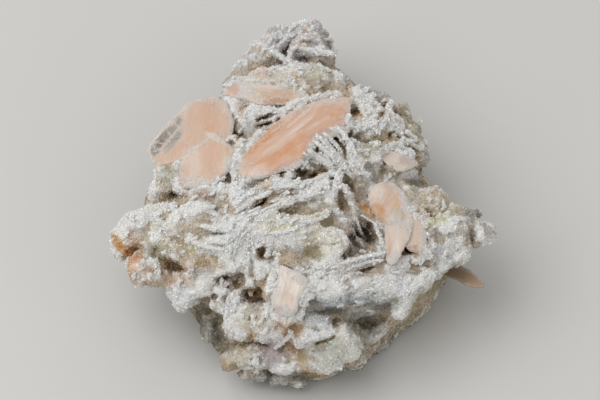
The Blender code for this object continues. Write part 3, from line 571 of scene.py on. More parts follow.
def beads():
    """The crust that grew up to the stilbites: a low uneven collar outside each rim, and clumps that climb
    over it. Each bead is a short thick rod, set out from the rim and raised by its own chances."""
    chance = np.random.default_rng(BEAD_SEED)
    low, high, radius = [], [], []
    for outline, crown, keel in sum(SHEAVES.values(), []):
        length = sum(math.dist(one[:2], two[:2]) for one, two in zip(outline, outline[1:] + outline[:1]))
        rim = rounded(outline, 1, int(length / BEAD_GAP))
        middle = rim.mean(0)
        for (across, up, height), clump in zip(rim, soft_noise(rim * MM, CLUMP_SIZE, 51)):
            size, shift, lift, turn = chance.random(4)
            away = np.array((across, up)) - middle[:2]
            away /= np.linalg.norm(away)
            if by_free_rim(across, up) or in_pit(*(np.array((across, up)) + 1.4 * away), 1.5):
                continue
            along = math.cos(turn * math.pi) * ACROSS + math.sin(turn * math.pi) * UP_FACE
            shapes = [(0.9 + 0.7 * shift, -2.4 + 1.4 * clump + 0.7 * lift, 0.9 + 0.6 * size)]
            if clump >= CLIMB_FROM:
                shapes.append((0.6 - 2.0 * shift, -0.3 + 0.7 * lift, 0.3 + 0.6 * size * (0.5 + clump)))
            for out, rise, thick in shapes:
                spot = face_point(across + away[0] * out, up + away[1] * out, height + rise)
                low.append(spot - along * thick * MM)
                high.append(spot + along * thick * MM)
                radius.append(thick)
    return tubes(np.array(low), np.array(high), np.array(radius) * MM, 6)


def cover(points):
    """Where the white druse covers the clear base, 0 to 1: layers of noise cut off sharply."""
    return rise_between(layered(points, COVER), -0.2, 0.1)


def fine_form(mesh):
    """The finer knobs of the crust, pushed along its normals, higher where it is white, none at its foot."""
    points, normals = corners_of(mesh)
    white = cover(points)
    swell = (0.24 + 0.16 * white) * knobs(points, FINE_KNOBS, 7) + 0.16 * knobs(points, SMALL_KNOBS, 8)
    swell = swell + 0.4 * white - 0.45
    steady = rise_between(points[:, 2], 0.3 * MM, 1.5 * MM)
    return push_pits(points + normals * (swell * steady * MM)[:, None], normals, REOPENED)


def druse_body(crystals):
    """The whole crust: the broad form with its rods and beads run together, then the fine form."""
    broad = broad_form()
    height_at = sight_heights(joined("sight", [broad] + crystals))
    whole = joined("whole", [broad, lattice_rods(height_at, CORE_SHARE, CORE_DROP), beads()])
    mesh = worked(whole, "REMESH", mode="VOXEL", voxel_size=FINE_STEP * MM)
    mesh = worked(mesh, "SMOOTH", factor=0.5, iterations=1)
    mesh = new_mesh("fine", fine_form(mesh), triangles_of(mesh), True)
    mesh = worked(mesh, "DECIMATE", ratio=min(1.0, DRUSE_TRIANGLES / len(mesh.polygons)))
    moved(mesh, boxed(corners_of(mesh)[0], BOX_MARGIN, 0.0))
    return mesh, height_at


crystals = [merged_copy(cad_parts[node]) for node in SHEAVES]
druse_mesh, height_at = druse_body(crystals)
druse_mesh.name = "chalcedony_druse"
druse = shown("chalcedony_druse", druse_mesh)
druse_points, druse_normals = corners_of(druse_mesh)
druse_triangles = triangles_of(druse_mesh)
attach(druse, "root")
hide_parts("chalcedony_matrix")

# What the crust is stained with: rust and ochre where iron ran in, brown and olive where the clear
# quartz lets the dark rock show, grey and blue-white where it is clean, pink near the stilbites. Some are
# painted shade: near black and a darker brown deep in pits, grey-violet in the peak's pits, greys under the
# front ridge, and a dark olive that is the rock's colour darkened on the shaded side walls.
WHITE = "#e9e8e5"
BLUE_WHITE = "#d9dcde"
CLEAR_BASE = "#c3b6a3"
# The warm colour painted into recesses as shade.
RECESS_SHADE = "#c0ab8d"
GREY_CLEAR = "#b3afa9"
BEIGE = "#c9bba8"
PINK_BEIGE = "#cfb3a2"
OLIVE = "#9d9576"
# The rock's own olive, darkened as painted shade where it marks the shaded side walls.
OLIVE_ROCK_AND_SHADE = "#5c5740"
YELLOW_GREEN = "#c6c097"
BROWN = "#ba9668"
# A darker brown painted as shade deep in pits.
PIT_SHADE_BROWN = "#86684a"
GREY_BROWN = "#a3958a"
RUST = "#c88a1c"
OCHRE = "#b7935c"
ROCK = "#6d6958"

# How a stain's edge is warped, between which shares of its size it fades out and how far out it can reach,
# then how much painted warm shade the recesses get and how much painted light whitens the tips, and the
# cells that the crust's front is averaged in, in mm and to a side.
FRAY = ((0.34, 2.6, 44), (0.24, 1.0, 45), (0.12, 0.5, 46))
STAIN_FADE = (0.5, 1.2)
STAIN_REACH = 1.9
RECESS_SHADE_SHARE = 0.75
TIP_HIGHLIGHT = 0.8
STAND_CELL = 0.8
STAND_CELLS = 190

# Stains: across, up, half width, half rise, turn, colour and strength.
STAINS = [
    (-47.4, -20.8, 4.2, 3.8, 0, PINK_BEIGE, 0.6), (-50, -11, 3.5, 3.6, 20, "#d8b598", 0.65),
    (-49.6, -21.4, 1.3, 2.6, 5, OLIVE, 0.5), (-50, -18.6, 1.6, 3, 10, "#d2a06c", 0.6),
    (-54.2, -11.4, 1.4, 3.2, 18, RUST, 0.8), (-52, -14.4, 1.3, 3.4, 50, RUST, 0.85),
    (-49.2, -14.8, 2.8, 2, -30, "#c9864c", 0.85), (-42.4, -14.4, 2.6, 3.8, 20, OLIVE, 0.6),
    (-40.4, -13.4, 2, 1.6, 0, YELLOW_GREEN, 0.5), (-37.4, -18, 4.4, 1.9, -24, BROWN, 0.95),
    (-36.4, -18.6, 2.8, 1, -20, PIT_SHADE_BROWN, 0.9), (-42.4, -19.6, 2.6, 1.2, 0, OCHRE, 0.7),
    (-37.2, -22.4, 6.6, 2.6, -10, "#c0a68f", 0.9), (-45.6, -23, 1.4, 1.4, 0, OCHRE, 0.6),
    (-33.4, -18, 2.4, 2, 0, PINK_BEIGE, 0.4), (-32.2, -13.4, 2.6, 1.4, 0, YELLOW_GREEN, 0.6),
    (-27.4, -17.6, 6, 2.4, -6, "#c0ad92", 0.85), (-28.6, -17.2, 2, 1.2, 0, OCHRE, 0.5),
    (-40.4, -6.6, 5, 2.4, -10, BEIGE, 0.35), (-36, -27, 4.5, 3.6, 0, BLUE_WHITE, 0.8),
    (-30, -25, 2.4, 2.6, 0, WHITE, 0.8), (-24, -8.4, 2.4, 1, 5, GREY_BROWN, 0.8),
    (-24, -12.4, 2.8, 1.2, -3, GREY_BROWN, 0.85), (-30, -10.2, 3.2, 0.9, -14, BEIGE, 0.6),
    (-25, -2, 3.4, 2.4, 0, GREY_CLEAR, 0.5), (-39.4, 8.6, 3.2, 4.6, 0, OLIVE, 0.8),
    (-39.8, 12.2, 1.6, 1.2, 0, OCHRE, 0.6), (-41, 5, 2, 2, 0, OCHRE, 0.4),
    (-38.4, 2.8, 2.4, 0.9, 0, GREY_BROWN, 0.8), (-28.4, 2.2, 4.6, 2.6, -10, GREY_BROWN, 0.7),
    (-29.2, 3, 2.6, 1.6, 0, PINK_BEIGE, 0.7), (-24.4, 0.4, 1.8, 1.6, 0, GREY_CLEAR, 0.7),
    (-33.6, 6.4, 2, 2.6, 0, PINK_BEIGE, 0.5), (-17.8, 28.8, 1.8, 3, 8, PINK_BEIGE, 0.85),
    (-17.6, 27.6, 1.1, 1.8, 0, OCHRE, 0.4), (-18.6, 20.4, 0.9, 1.1, -20, BROWN, 0.9),
    # The near-black at -10.2, 26.4 and -10.5, 24.2 is painted shade in two deep slits.
    (-20.4, 18.6, 1.1, 0.8, -30, BROWN, 0.9), (-10.2, 26.4, 3.2, 0.8, 17, "#3c2b1f", 0.95),
    (-10.5, 24.2, 2.7, 0.6, 14, "#3c2b1f", 0.95), (-16, 22, 3.4, 3, 0, BLUE_WHITE, 0.4),
    (-5.4, 9.2, 1.1, 1.5, 0, BROWN, 0.9), (0.2, 9.4, 1.1, 1.2, 0, BROWN, 0.9),
    (5.4, 9, 3.4, 1.6, 10, BROWN, 0.95), (10.8, 18.8, 2.2, 1.9, -10, BROWN, 0.9),
    (4.8, 15.8, 0.9, 1, 0, BROWN, 0.8), (-12, 0.8, 2.8, 1.4, 25, BROWN, 0.95),
    (-14.4, 7.4, 2.8, 1.2, 20, PINK_BEIGE, 0.7), (-10.6, 6, 3, 1.2, 25, OCHRE, 0.5),
    (-14, -4.4, 1.2, 1.2, 0, OCHRE, 0.7), (-15.4, -10.6, 2.4, 1.4, 0, OCHRE, 0.5),
    (-11, -14.4, 2.4, 2.6, 0, "#a3875c", 0.95), (4.2, -13.8, 3.2, 3.2, 0, "#b3a581", 0.9),
    (-4.8, -6.6, 5.4, 1.1, 14, YELLOW_GREEN, 0.8), (-2.4, -6.9, 1.6, 0.5, 20, OCHRE, 0.7),
    (6, -2.8, 2.4, 1, 12, YELLOW_GREEN, 0.9), (-5, -0.4, 5.2, 0.5, 3, BEIGE, 0.8),
    (4.2, -1.8, 1.8, 0.6, 10, GREY_BROWN, 0.6), (6, -9, 7, 5.6, 0, "#d3cdb4", 0.6),
    (-6, -5, 9, 3, 12, "#d8d2ba", 0.5), (-4.6, -16.6, 1.4, 1.2, 0, BROWN, 0.5),
    (13.2, 1.4, 1.7, 5, 15, GREY_BROWN, 0.9), (12.2, -0.4, 0.9, 2, 10, BROWN, 0.9),
    (18, 3.2, 5.2, 3.4, 0, GREY_BROWN, 0.75), (19, -9.8, 6, 5.2, -45, "#97897b", 0.9),
    (19.4, -4.6, 3.2, 1.6, -40, PIT_SHADE_BROWN, 0.9), (15.6, -14.4, 4.6, 2.2, 28, "#9a9187", 0.9),
    (14.8, -7.4, 3, 2.2, 0, "#b3a39c", 0.7), (21, -17.8, 5, 1.8, 25, GREY_BROWN, 0.5),
    (20.6, -2.6, 1.6, 3.6, 35, RUST, 0.8), (17.4, 27, 3, 1.5, 10, BROWN, 0.8),
    (25.2, 27.4, 1.8, 1.4, -20, BROWN, 0.8), (27, 21.2, 2, 1, -25, BROWN, 0.7),
    (21, 17.2, 4.8, 3.4, 10, OLIVE, 0.8), (19.6, 15, 2, 3, 0, BROWN, 0.4),
    (24.4, 10.6, 7, 3.6, 15, "#a39a8c", 0.85), (31.8, 27.2, 2.6, 4.4, -10, OLIVE, 0.75),
    (36.2, 21.4, 2.6, 2.8, -40, "#7d7746", 0.7), (35.4, 18.6, 3, 1.4, 10, OLIVE, 0.5),
    (38.6, 14.6, 1.8, 2, 0, GREY_CLEAR, 0.8), (35.6, 10.4, 3.2, 1.2, 20, OLIVE_ROCK_AND_SHADE, 0.8),
    (31.4, 8.8, 5, 2.6, 5, GREY_CLEAR, 0.7), (35.2, 6.4, 2.8, 1.6, 0, "#6c6b66", 0.8),
    (28, 9.8, 3.6, 1.2, -10, BROWN, 0.5), (34, 8.6, 2.2, 1.6, 0, BLUE_WHITE, 0.8),
    (38, 0.4, 5, 5, 15, "#c6b8a2", 0.8), (44.4, 0.4, 4, 3, 40, "#c6b8a2", 0.7),
    (41.4, -4.6, 4.6, 1.8, 25, YELLOW_GREEN, 0.8), (52.4, -2.4, 3.4, 2.4, 0, "#8b8c8b", 0.85),
    (54, -4.2, 2.2, 1, 0, OLIVE, 0.6), (33.6, 4.6, 2.4, 3, 0, OLIVE, 0.4),
    (32.4, -13.4, 3.4, 1.7, 15, "#9a6a33", 0.95), (34.2, -14.4, 1.6, 1.2, 20, BROWN, 0.9),
    (45.2, -9.2, 1.6, 1.4, 0, GREY_CLEAR, 0.8), (51.2, -9.6, 2, 3, 0, "#8d8b80", 0.8),
    (53.2, -14.8, 2, 3, 0, OLIVE_ROCK_AND_SHADE, 0.9), (42.4, -14.6, 5, 3.4, 30, "#bdbdbd", 0.5),
    (43, -22, 7, 1.8, 42, OLIVE, 0.8), (34.6, -28, 1.6, 5, -25, OLIVE, 0.75),
    # The greys at 25.4, -29, at 12, -29.2 and at 17, -33.4 and the dark olive at 20, -36.6 are painted shade
    # under the front ridge and on the wall below it.
    (31.8, -20.4, 2.4, 1, 15, GREY_CLEAR, 0.6), (25.4, -29, 6, 2.6, 0, "#a5a69f", 0.8),
    (12, -29.2, 13, 2.8, 6, "#a4abb1", 0.85), (17, -33.4, 9, 2.4, 0, "#7d7c72", 0.8),
    (20, -36.6, 6, 3, 0, OLIVE_ROCK_AND_SHADE, 0.85), (4, -33, 4, 3, 0, BLUE_WHITE, 0.7),
    (3.4, -30.4, 4, 1.2, 0, BEIGE, 0.6), (-22.6, -27.4, 2, 1.2, 0, PIT_SHADE_BROWN, 0.8),
    (-21, -22, 5.4, 2.4, 15, GREY_BROWN, 0.8), (-19.8, -23.4, 3.4, 1.4, 0, OCHRE, 0.4),
    (-14.4, -27.6, 6, 3.2, 0, GREY_BROWN, 0.85), (-12.4, -26.4, 3, 1.8, 0, BROWN, 0.9),
    (-14.4, -18.4, 0.7, 3.2, -12, GREY_BROWN, 0.8), (-21, -30.4, 2.2, 2.4, 0, "#b3a8a4", 0.7),
    (-14, -35, 6, 4.4, 0, "#c3b7a2", 0.85), (-14.4, -39.2, 1.8, 1.4, 30, BROWN, 0.8),
    (-12.8, -33.6, 3.6, 0.7, -10, OCHRE, 0.4), (-5.6, -35.6, 3.6, 2, 0, PINK_BEIGE, 0.7),
    (-2, -37.6, 3.4, 3, 0, "#ab7c47", 0.9), (-0.4, -36.6, 1.4, 1.4, 0, OCHRE, 0.8),
    (-3, -41, 1.8, 3.6, 20, "#a98468", 0.85), (0.6, -46.4, 1.6, 4.8, 25, OCHRE, 0.8),
    (4.6, -50.4, 6, 1.2, -12, OCHRE, 0.75), (7.2, -40, 4, 1, 18, OLIVE, 0.85),
    (-8.4, -43.6, 5, 3.8, 0, "#a39090", 0.9), (-9, -46.8, 4, 2.4, 0, GREY_CLEAR, 0.6),
    (-19.6, -46, 6, 3.4, 0, "#b9ae9a", 0.8), (-23, -47.6, 3.4, 1.8, 0, OCHRE, 0.6),
    (-9, -52.6, 9, 2.6, 0, "#a9aaa8", 0.85), (-15.4, -52.4, 2, 1.6, 0, GREY_CLEAR, 0.8),
    (0.2, -51.4, 3.6, 2, -20, "#77766e", 0.8), (12, -44, 9, 5, 20, "#cccbbf", 0.85),
    # The dark olive here is the rock's colour and painted shade on the lower left side wall.
    (18.6, -40, 2.6, 3, 0, GREY_CLEAR, 0.7), (-28, -36, 5, 8, 25, OLIVE_ROCK_AND_SHADE, 0.9),
    (-24.6, -34, 1.8, 2.4, 0, OLIVE_ROCK_AND_SHADE, 0.8), (-23, -38.6, 2.4, 3.6, 0, GREY_CLEAR, 0.5),
    # The grey-violets at -5.6, 48, -4.2, 45.2, 4, 48.6, 0.8, 44.2 and 6.8, 42.6 lie in the peak's pits:
    # painted shade over the clear quartz's grey.
    (-2, 50, 12, 9, 0, "#c8c6ca", 0.7), (-5.6, 48, 2.6, 2.6, -20, "#a0979a", 0.8),
    (-4.2, 45.2, 1.6, 1.8, 0, "#a49fa3", 0.8), (1, 49.2, 1.8, 1.1, -8, BROWN, 0.9),
    (4, 48.6, 2, 1.2, -8, "#968d90", 0.9), (0.8, 44.2, 2.4, 1.2, -4, "#a0979a", 0.9),
    (6.8, 42.6, 1.8, 0.9, -25, "#a0979a", 0.8), (1.5, 53, 0.8, 0.9, 0, BROWN, 0.8),
    (8, 50.4, 2.4, 3.6, 10, "#8a8480", 0.9), (5.4, 54.4, 2.4, 2.6, 0, "#bdb9b9", 0.7),
    (-8, 54, 2, 1.6, 0, "#bcbcc2", 0.7), (-10.4, 41.8, 1.6, 1.4, 0, PINK_BEIGE, 0.8),
    (-9, 41.7, 0.6, 0.7, 0, PIT_SHADE_BROWN, 0.9), (-11.6, 39.4, 3.4, 1.4, 0, PINK_BEIGE, 0.85),
    (-10.4, 45.6, 3.4, 2.6, 0, "#c4bdb0", 0.7), (-1.6, 39.4, 2.6, 1, -30, "#c9a87c", 0.8),
    (4, 39.8, 4, 2.4, 0, "#c2bb9f", 0.75), (-5, 38, 6, 3, 0, "#cbbcaa", 0.7),
    (7.2, 34.4, 2.2, 1.6, -20, GREY_BROWN, 0.7), (12, 42, 1.6, 3.4, 35, "#86857b", 0.8),
    (15.4, 39, 3, 3, 40, "#8d8c80", 0.8), (13.6, 36.6, 1.6, 1.6, 0, GREY_CLEAR, 0.6),
    (14.2, 35, 0.8, 1.5, 0, BROWN, 0.7), (-18.4, 41, 2, 2, 0, BLUE_WHITE, 0.6),
    (22.4, 33.4, 4.4, 2.8, 0, "#c4c4c8", 0.6), (20, 8.6, 1.8, 1.8, 0, BLUE_WHITE, 0.8),
]


def linear(colour):
    """An sRGB hex colour as linear red, green and blue: ((c + 0.055) / 1.055)^2.4 above 0.04045, and
    c / 12.92 below."""
    share = np.array([int(colour[at:at + 2], 16) / 255 for at in (1, 3, 5)])
    return np.where(share > 0.04045, ((share + 0.055) / 1.055) ** 2.4, share / 12.92)


def toward(colours, other, share):
    """The colours drawn toward an sRGB hex colour: c + (o - c) * share."""
    return colours + (linear(other) - colours) * np.reshape(share, (-1, 1))


def stained(colour, points, stains, shown_share):
    """Colours with the stains over them, each an ellipse that fades out and is frayed by noise."""
    across, up = face_of(points)
    warp = layered(points, FRAY)
    patchy = 0.8 + 0.2 * soft_noise(points, 0.8, 47)
    for *place, stain, strength in stains:
        out = ellipse(across, up, *place)
        near = out < STAIN_REACH
        share = strength * (1 - rise_between(out[near] + warp[near], *STAIN_FADE))
        colour[near] = toward(colour[near], stain, share * (shown_share * patchy)[near])
    return colour


def fronts(points):
    """Finds how far places stand out to the viewer, in mm, over the mean front of the crust about them: the
    nearest point in each cell of the face, averaged over 7 by 7 cells twice; 0 at the crust's outline."""
    front = np.full((STAND_CELLS, STAND_CELLS), -np.inf)

    def cells(places):
        spot = np.stack(face_of(places)) / STAND_CELL + STAND_CELLS / 2
        return tuple(np.clip(spot, 0, STAND_CELLS - 1).astype(int))

    np.maximum.at(front, cells(points), points @ TO_VIEWER / MM)
    known = np.isfinite(front).astype(float)
    level = np.where(known > 0, front, 0.0)
    for _ in range(2):
        for axis in (0, 1):
            level = sum(np.roll(level, step, axis) for step in range(-3, 4)) / 7
            known = sum(np.roll(known, step, axis) for step in range(-3, 4)) / 7
    level /= np.maximum(known, 1e-9)
    inner = rise_between(known, 0.6, 0.95)
    return lambda places: (places @ TO_VIEWER / MM - level[cells(places)]) * inner[cells(places)]


stands_out = fronts(druse_points)


def sunk_share(points):
    """How far points are sunk among the rods and knobs: 0 where they stand out, 1 from 1.5 mm below."""
    return rise_between(-stands_out(points), -0.3, 1.5)


def crust_colour(points, normals):
    """The crust's colour at points: rock below and behind, then a clear grey-brown base with white druse
    over it in patches, with painted warm shade where it is sunk and painted light where it stands out, then
    the stains, some of them painted shade."""
    facing = normals @ TO_VIEWER
    mottle = soft_noise(points, 5.0, 41)
    grown = rise_between(facing + 0.35 * mottle + 0.02 * (points[:, 2] / MM - 20), -0.35, 0.35)
    base = toward(linear(CLEAR_BASE), GREY_CLEAR, rise_between(mottle, -0.3, 0.5))
    white = toward(linear(WHITE), BLUE_WHITE, rise_between(soft_noise(points, 7.0, 42), 0.1, 0.8))
    rock = toward(linear(ROCK), OLIVE, rise_between(soft_noise(points, 4.0, 43), -0.5, 0.7))
    colour = base + (white - base) * cover(points)[:, None]
    # Painted shade: warmer and darker where the crust is sunk. Painted light: whiter where it stands out,
    # over the druse's own white.
    colour = toward(colour, RECESS_SHADE, RECESS_SHADE_SHARE * sunk_share(points))
    colour = toward(colour, WHITE, TIP_HIGHLIGHT * rise_between(stands_out(points), 0.4, 1.4))
    colour = rock + (colour - rock) * grown[:, None]
    return stained(colour, points, STAINS, rise_between(facing, -0.25, 0.1))


def add_node(tree, kind, settings=(), links=()):
    """A node with its settings and links: a setting's name is a socket or a property, a link's a socket."""
    node = tree.nodes.new(kind)
    for name, value in dict(settings).items():
        if isinstance(name, int) or name in node.inputs:
            node.inputs[name].default_value = value
        else:
            setattr(node, name, value)
    for name, source in dict(links).items():
        tree.links.new(source, node.inputs[name])
    return node


def set_sockets(node, settings):
    """The node's own sockets set to plain values."""
    for name, value in settings.items():
        node.inputs[name].default_value = value


def box_map(mesh, points, triangles):
    """The map a piece is stored with: each face laid on the side of a box that it faces most, the box turned
    with the line of sight, and its six sides set out three by two: u = (axis + place / span) / 3, v alike."""
    sides = np.stack([ACROSS, UP_FACE, TO_VIEWER])
    along = face_normals(points, triangles) @ sides.T
    axis = np.abs(along).argmax(1)
    back = along[np.arange(len(axis)), axis] > 0
    places = points @ sides.T
    span = (places.max(0) - places.min(0)).max() * 1.02
    places = (places - (places.max(0) + places.min(0)) / 2) / span + 0.5
    corners = places[triangles]
    first, second = np.array((1, 0, 0))[axis], np.array((2, 2, 1))[axis]
    u = np.take_along_axis(corners, first[:, None, None], 2)[..., 0]
    v = np.take_along_axis(corners, second[:, None, None], 2)[..., 0]
    spots = np.stack([(axis[:, None] + u) / 3, (back[:, None] + v) / 2], -1)
    mesh.uv_layers.new(name="OFBake").data.foreach_set("uv", spots.astype(np.float32).ravel())


def start_material(name):
    """A new material, its tree and its shader."""
    material = bpy.data.materials.new(name)
    material.use_nodes = True
    return material, material.node_tree, material.node_tree.nodes["Principled BSDF"]


def set_colours(mesh, name, colours):
    """The colours kept on the mesh's corners under this name."""
    rows = np.column_stack([colours, np.ones(len(colours))])
    layer = mesh.color_attributes.new(name, "FLOAT_COLOR", "POINT")
    layer.data.foreach_set("color", rows.astype(np.float32).ravel())


def druse_material():
    """Fine quartz over chalcedony: white and slightly see-through, each crystal face turned its own way so it
    glitters, with a soft satin between. The crystals are about 0.4 mm, drawn at that size."""
    material, tree, shader = start_material("quartz_druse_on_chalcedony")
    place = add_node(tree, "ShaderNodeTexCoord").outputs["Object"]
    stain = add_node(tree, "ShaderNodeVertexColor", {"layer_name": "stain"}).outputs["Color"]
    mottle = add_node(tree, "ShaderNodeTexNoise", {"Scale": 1 / (1.1 * MM), "Detail": 3.0}, {"Vector": place})
    shade = add_node(tree, "ShaderNodeMapRange", {"To Min": 0.86, "To Max": 1.1},
                     {"Value": mottle.outputs["Fac"]})
    tinted = add_node(tree, "ShaderNodeVectorMath", {"operation": "SCALE"},
                      {0: stain, "Scale": shade.outputs[0]})
    cells = add_node(tree, "ShaderNodeTexVoronoi", {"Scale": 1 / (0.42 * MM)}, {"Vector": place})
    turned = add_node(tree, "ShaderNodeVectorMath",
                      {"operation": "MULTIPLY_ADD", 1: (0.9,) * 3, 2: (-0.45,) * 3},
                      {0: cells.outputs["Color"]})
    normal = add_node(tree, "ShaderNodeNewGeometry").outputs["Normal"]
    faced = add_node(tree, "ShaderNodeVectorMath", {"operation": "ADD"}, {0: normal, 1: turned.outputs[0]})
    facet = add_node(tree, "ShaderNodeVectorMath", {"operation": "NORMALIZE"}, {0: faced.outputs[0]})
    gloss = add_node(tree, "ShaderNodeMapRange", {"From Max": 0.7, "To Min": 0.2, "To Max": 0.6},
                     {"Value": cells.outputs["Distance"]})
    for socket, node in (("Base Color", tinted), ("Normal", facet), ("Roughness", gloss)):
        tree.links.new(node.outputs[0], shader.inputs[socket])
    set_sockets(shader, {
        "IOR": 1.54, "Subsurface Weight": 0.7, "Subsurface Radius": (1.0, 0.9, 0.78),
        "Subsurface Scale": 2.4 * MM,
    })
    return material


druse_stuff = druse_material()
druse_mesh.materials.clear()
druse_mesh.materials.append(druse_stuff)
set_colours(druse_mesh, "stain", crust_colour(druse_points, druse_normals))
box_map(druse_mesh, druse_points, druse_triangles)

# The rods: the same quartz grown along threads, now a lattice of white sugary sticks that stand on the
# crust and cross its hollows, the long ones one by one and the small ones in fields.
RODS_WHITE = 0.75
ROD_SHARE = 0.74


def whitened(points):
    """How far what stands on the crust is whitened: not at 6 mm, fully at 20 mm, less where it is sunk,
    which is painted shade.
    """
    return rise_between(points[:, 2], 6 * MM, 20 * MM) * (1 - 0.8 * sunk_share(points))


ground = joined("ground", [druse_mesh] + crystals)
few_rods = lattice_rods(height_at, ROD_SHARE, 0.0)
many_rods = field_rods(corners_of(ground)[0], triangles_of(ground))
rod_mesh = joined("quartz_rods", [few_rods, many_rods])
rod_points, rod_normals = corners_of(rod_mesh)
rod_triangles = triangles_of(rod_mesh)
rod_points = boxed(rod_points, BOX_MARGIN, BOX_MARGIN)
moved(rod_mesh, rod_points)
rod_colours = toward(crust_colour(rod_points, rod_normals), WHITE, RODS_WHITE * whitened(rod_points))
set_colours(rod_mesh, "stain", rod_colours)
box_map(rod_mesh, rod_points, rod_triangles)
rod_mesh.materials.append(druse_stuff)
rods = shown("quartz_rods", rod_mesh)
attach(rods, "root")

# The stilbites: sheaves of thin plates grown side by side, so a face is silky and striped along the
# plates, with a pearly sheen, peach from a trace of iron and paler where it is thin or frosted.

# A sheaf is steps round its rim by rings over its face and its back, crowded toward the rim, with stripes
# and veils drawn out along the plates and steps of one height from plate to plate.
SHEAF_STEPS = 300
CROWN_RINGS = 46
KEEL_RINGS = 12
EDGE_CROWDING = 1.6
PLATE_STRETCH = 14
PLATE_STEP = 0.25
STEP_LIFT = 0.35
VEIL_STRETCH = 7
SHEAF_SALT = 70
PEACH = "#cba58d"
PALE_PEACH = "#cbb09c"
ORANGE = "#c98d5f"
PALE_BEIGE = "#d3c4b5"
VEIL = "#dcd2ca"
# Mauve painted as shade below the main blade's ridge and along its fold.
MAUVE_SHADE = "#ad948b"
CLEAR = "#f4f3f1"

# For each piece: its colour, then for each sheaf the turn of its plates, how far they fan out, the rounds
# of corner cutting and how flat its face is.
PLATES = {
    "stilbite_main_blade": (PEACH, [(37, 0.25, 2, 4)]),
    "stilbite_left_pair": (PALE_PEACH, [(84, 0.2, 0, 9), (92, 0.25, 0, 9)]),
    "stilbite_top_blade": (PALE_BEIGE, [(-6, 0.2, 1, 4)]),
    "stilbite_right_pair": ("#cdb4a2", [(62, 0.3, 2, 4), (99, 0.15, 1, 6), (95, 0.1, 1, 6)]),
    "stilbite_right_small": (PALE_BEIGE, [(-18, 0.1, 0, 9)]),
    "stilbite_lower_middle": ("#d8cdc2", [(76, 0.25, 1, 6)]),
    # The spear's darker beige is partly painted shade from the arm over it, partly its own colour.
    "stilbite_lower_right_spear": ("#a48d77", [(-17, 0.1, 0, 5)]),
}

# The stilbites' stains, as the crust's are: orange and rust, paler veils along the plates; the mauve on the
# main blade is painted shade, and the spear's darker beige is partly painted shade.
SHEAF_STAINS = [
    (-10.8, 20.4, 10.5, 2, 43, ORANGE, 0.95), (-2.4, 27.8, 4.6, 0.9, 40, VEIL, 0.5),
    (-1, 25.6, 5.4, 0.6, 42, VEIL, 0.55), (-5.4, 24, 4, 0.4, 38, VEIL, 0.5),
    (0.4, 23.8, 4.8, 0.5, 36, VEIL, 0.5), (-9, 16.4, 5, 0.8, 34, VEIL, 0.4),
    (-5, 18.4, 6, 0.7, 36, VEIL, 0.4), (3.4, 28.6, 4.4, 0.7, 30, VEIL, 0.4),
    (-13.4, 8.4, 4.4, 0.8, 12, VEIL, 0.5), (5.6, 24.6, 5, 0.6, 30, VEIL, 0.35),
    (-9.4, 13.4, 6.4, 1.8, 25, ORANGE, 0.6), (-1.5, 17.2, 5.6, 2.6, 30, ORANGE, 0.65),
    (9.6, 27, 0.8, 0.6, 0, RUST, 0.8), (12.6, 26.6, 2.4, 5, -10, ORANGE, 0.3),
    (7, 21.6, 5.4, 1.1, 20, MAUVE_SHADE, 0.6), (-3.6, 12.4, 4.6, 0.8, 24, MAUVE_SHADE, 0.35),
    (-13, 10.4, 3.4, 1.6, 30, VEIL, 0.5), (-27.4, 22.6, 2, 1.2, 30, ORANGE, 0.6),
    (-27.4, 26.6, 3.4, 6, 0, PEACH, 0.7), (-38.4, 17.2, 4.4, 1.2, 10, PEACH, 0.5),
    (-26.4, 14.8, 3.2, 5.4, -8, PEACH, 0.55), (-32, 13.4, 3, 6, 0, VEIL, 0.4),
    (-25.4, 20.2, 4, 1, -25, VEIL, 0.8), (-20.4, 35, 2.6, 1.8, 10, "#c99f8e", 0.9),
    (-6.6, 32.8, 6.4, 2.2, 4, "#c59a80", 0.8), (-8, 31, 5, 1, 4, "#b5805a", 0.95),
    (2.2, 31.8, 1.8, 1, -10, "#b98560", 0.9), (-10.6, 34.4, 3.6, 1.2, 0, PEACH, 0.6),
    (-16, 34.4, 1.6, 2, 0, VEIL, 0.8), (22.8, 3.8, 3.2, 2.8, 50, VEIL, 0.7),
    (23, -2.2, 2.4, 3.4, 50, "#bd8640", 0.85), (23.6, -4.2, 2.8, 1.5, -40, "#a56c22", 0.9),
    (27.8, 0.6, 2.4, 2.8, 0, ORANGE, 0.35), (28.6, -9.6, 3, 8, 8, "#d6cabf", 0.9),
    (26.2, -12.6, 1, 4, 0, "#c79a80", 0.5), (34.6, -8, 4, 6, 0, "#cdbba9", 0.9),
    (33, -13, 2.4, 1.4, 15, "#94693f", 0.8), (32.4, 13.2, 3, 2, 0, "#b5a5a3", 0.8),
    (27, 13.4, 2.4, 1.4, 0, VEIL, 0.6), (-3.4, -27.6, 2.2, 3.6, 10, PEACH, 0.3),
    (0.4, -22, 2.4, 1.4, 0, VEIL, 0.6), (-6.4, -30.4, 1.8, 1.8, 0, "#c9a58e", 0.6),
    # The darker brown over the spear is partly painted shade from the arm over it, partly its own
    # beige-brown.
    (46.6, -20.8, 5, 4, 0, "#8a735c", 0.7),
]

# How much sugar lies on each piece: at its rim and in its middle.
FROST = {
    "stilbite_main_blade": (0.6, 0.02), "stilbite_left_pair": (0.5, 0.05),
    "stilbite_top_blade": (1.0, 0.4), "stilbite_right_pair": (0.8, 0.06),
    "stilbite_right_small": (0.6, 0.05), "stilbite_lower_middle": (1.0, 0.4),
    "stilbite_lower_right_spear": (0.1, 0.04),
}

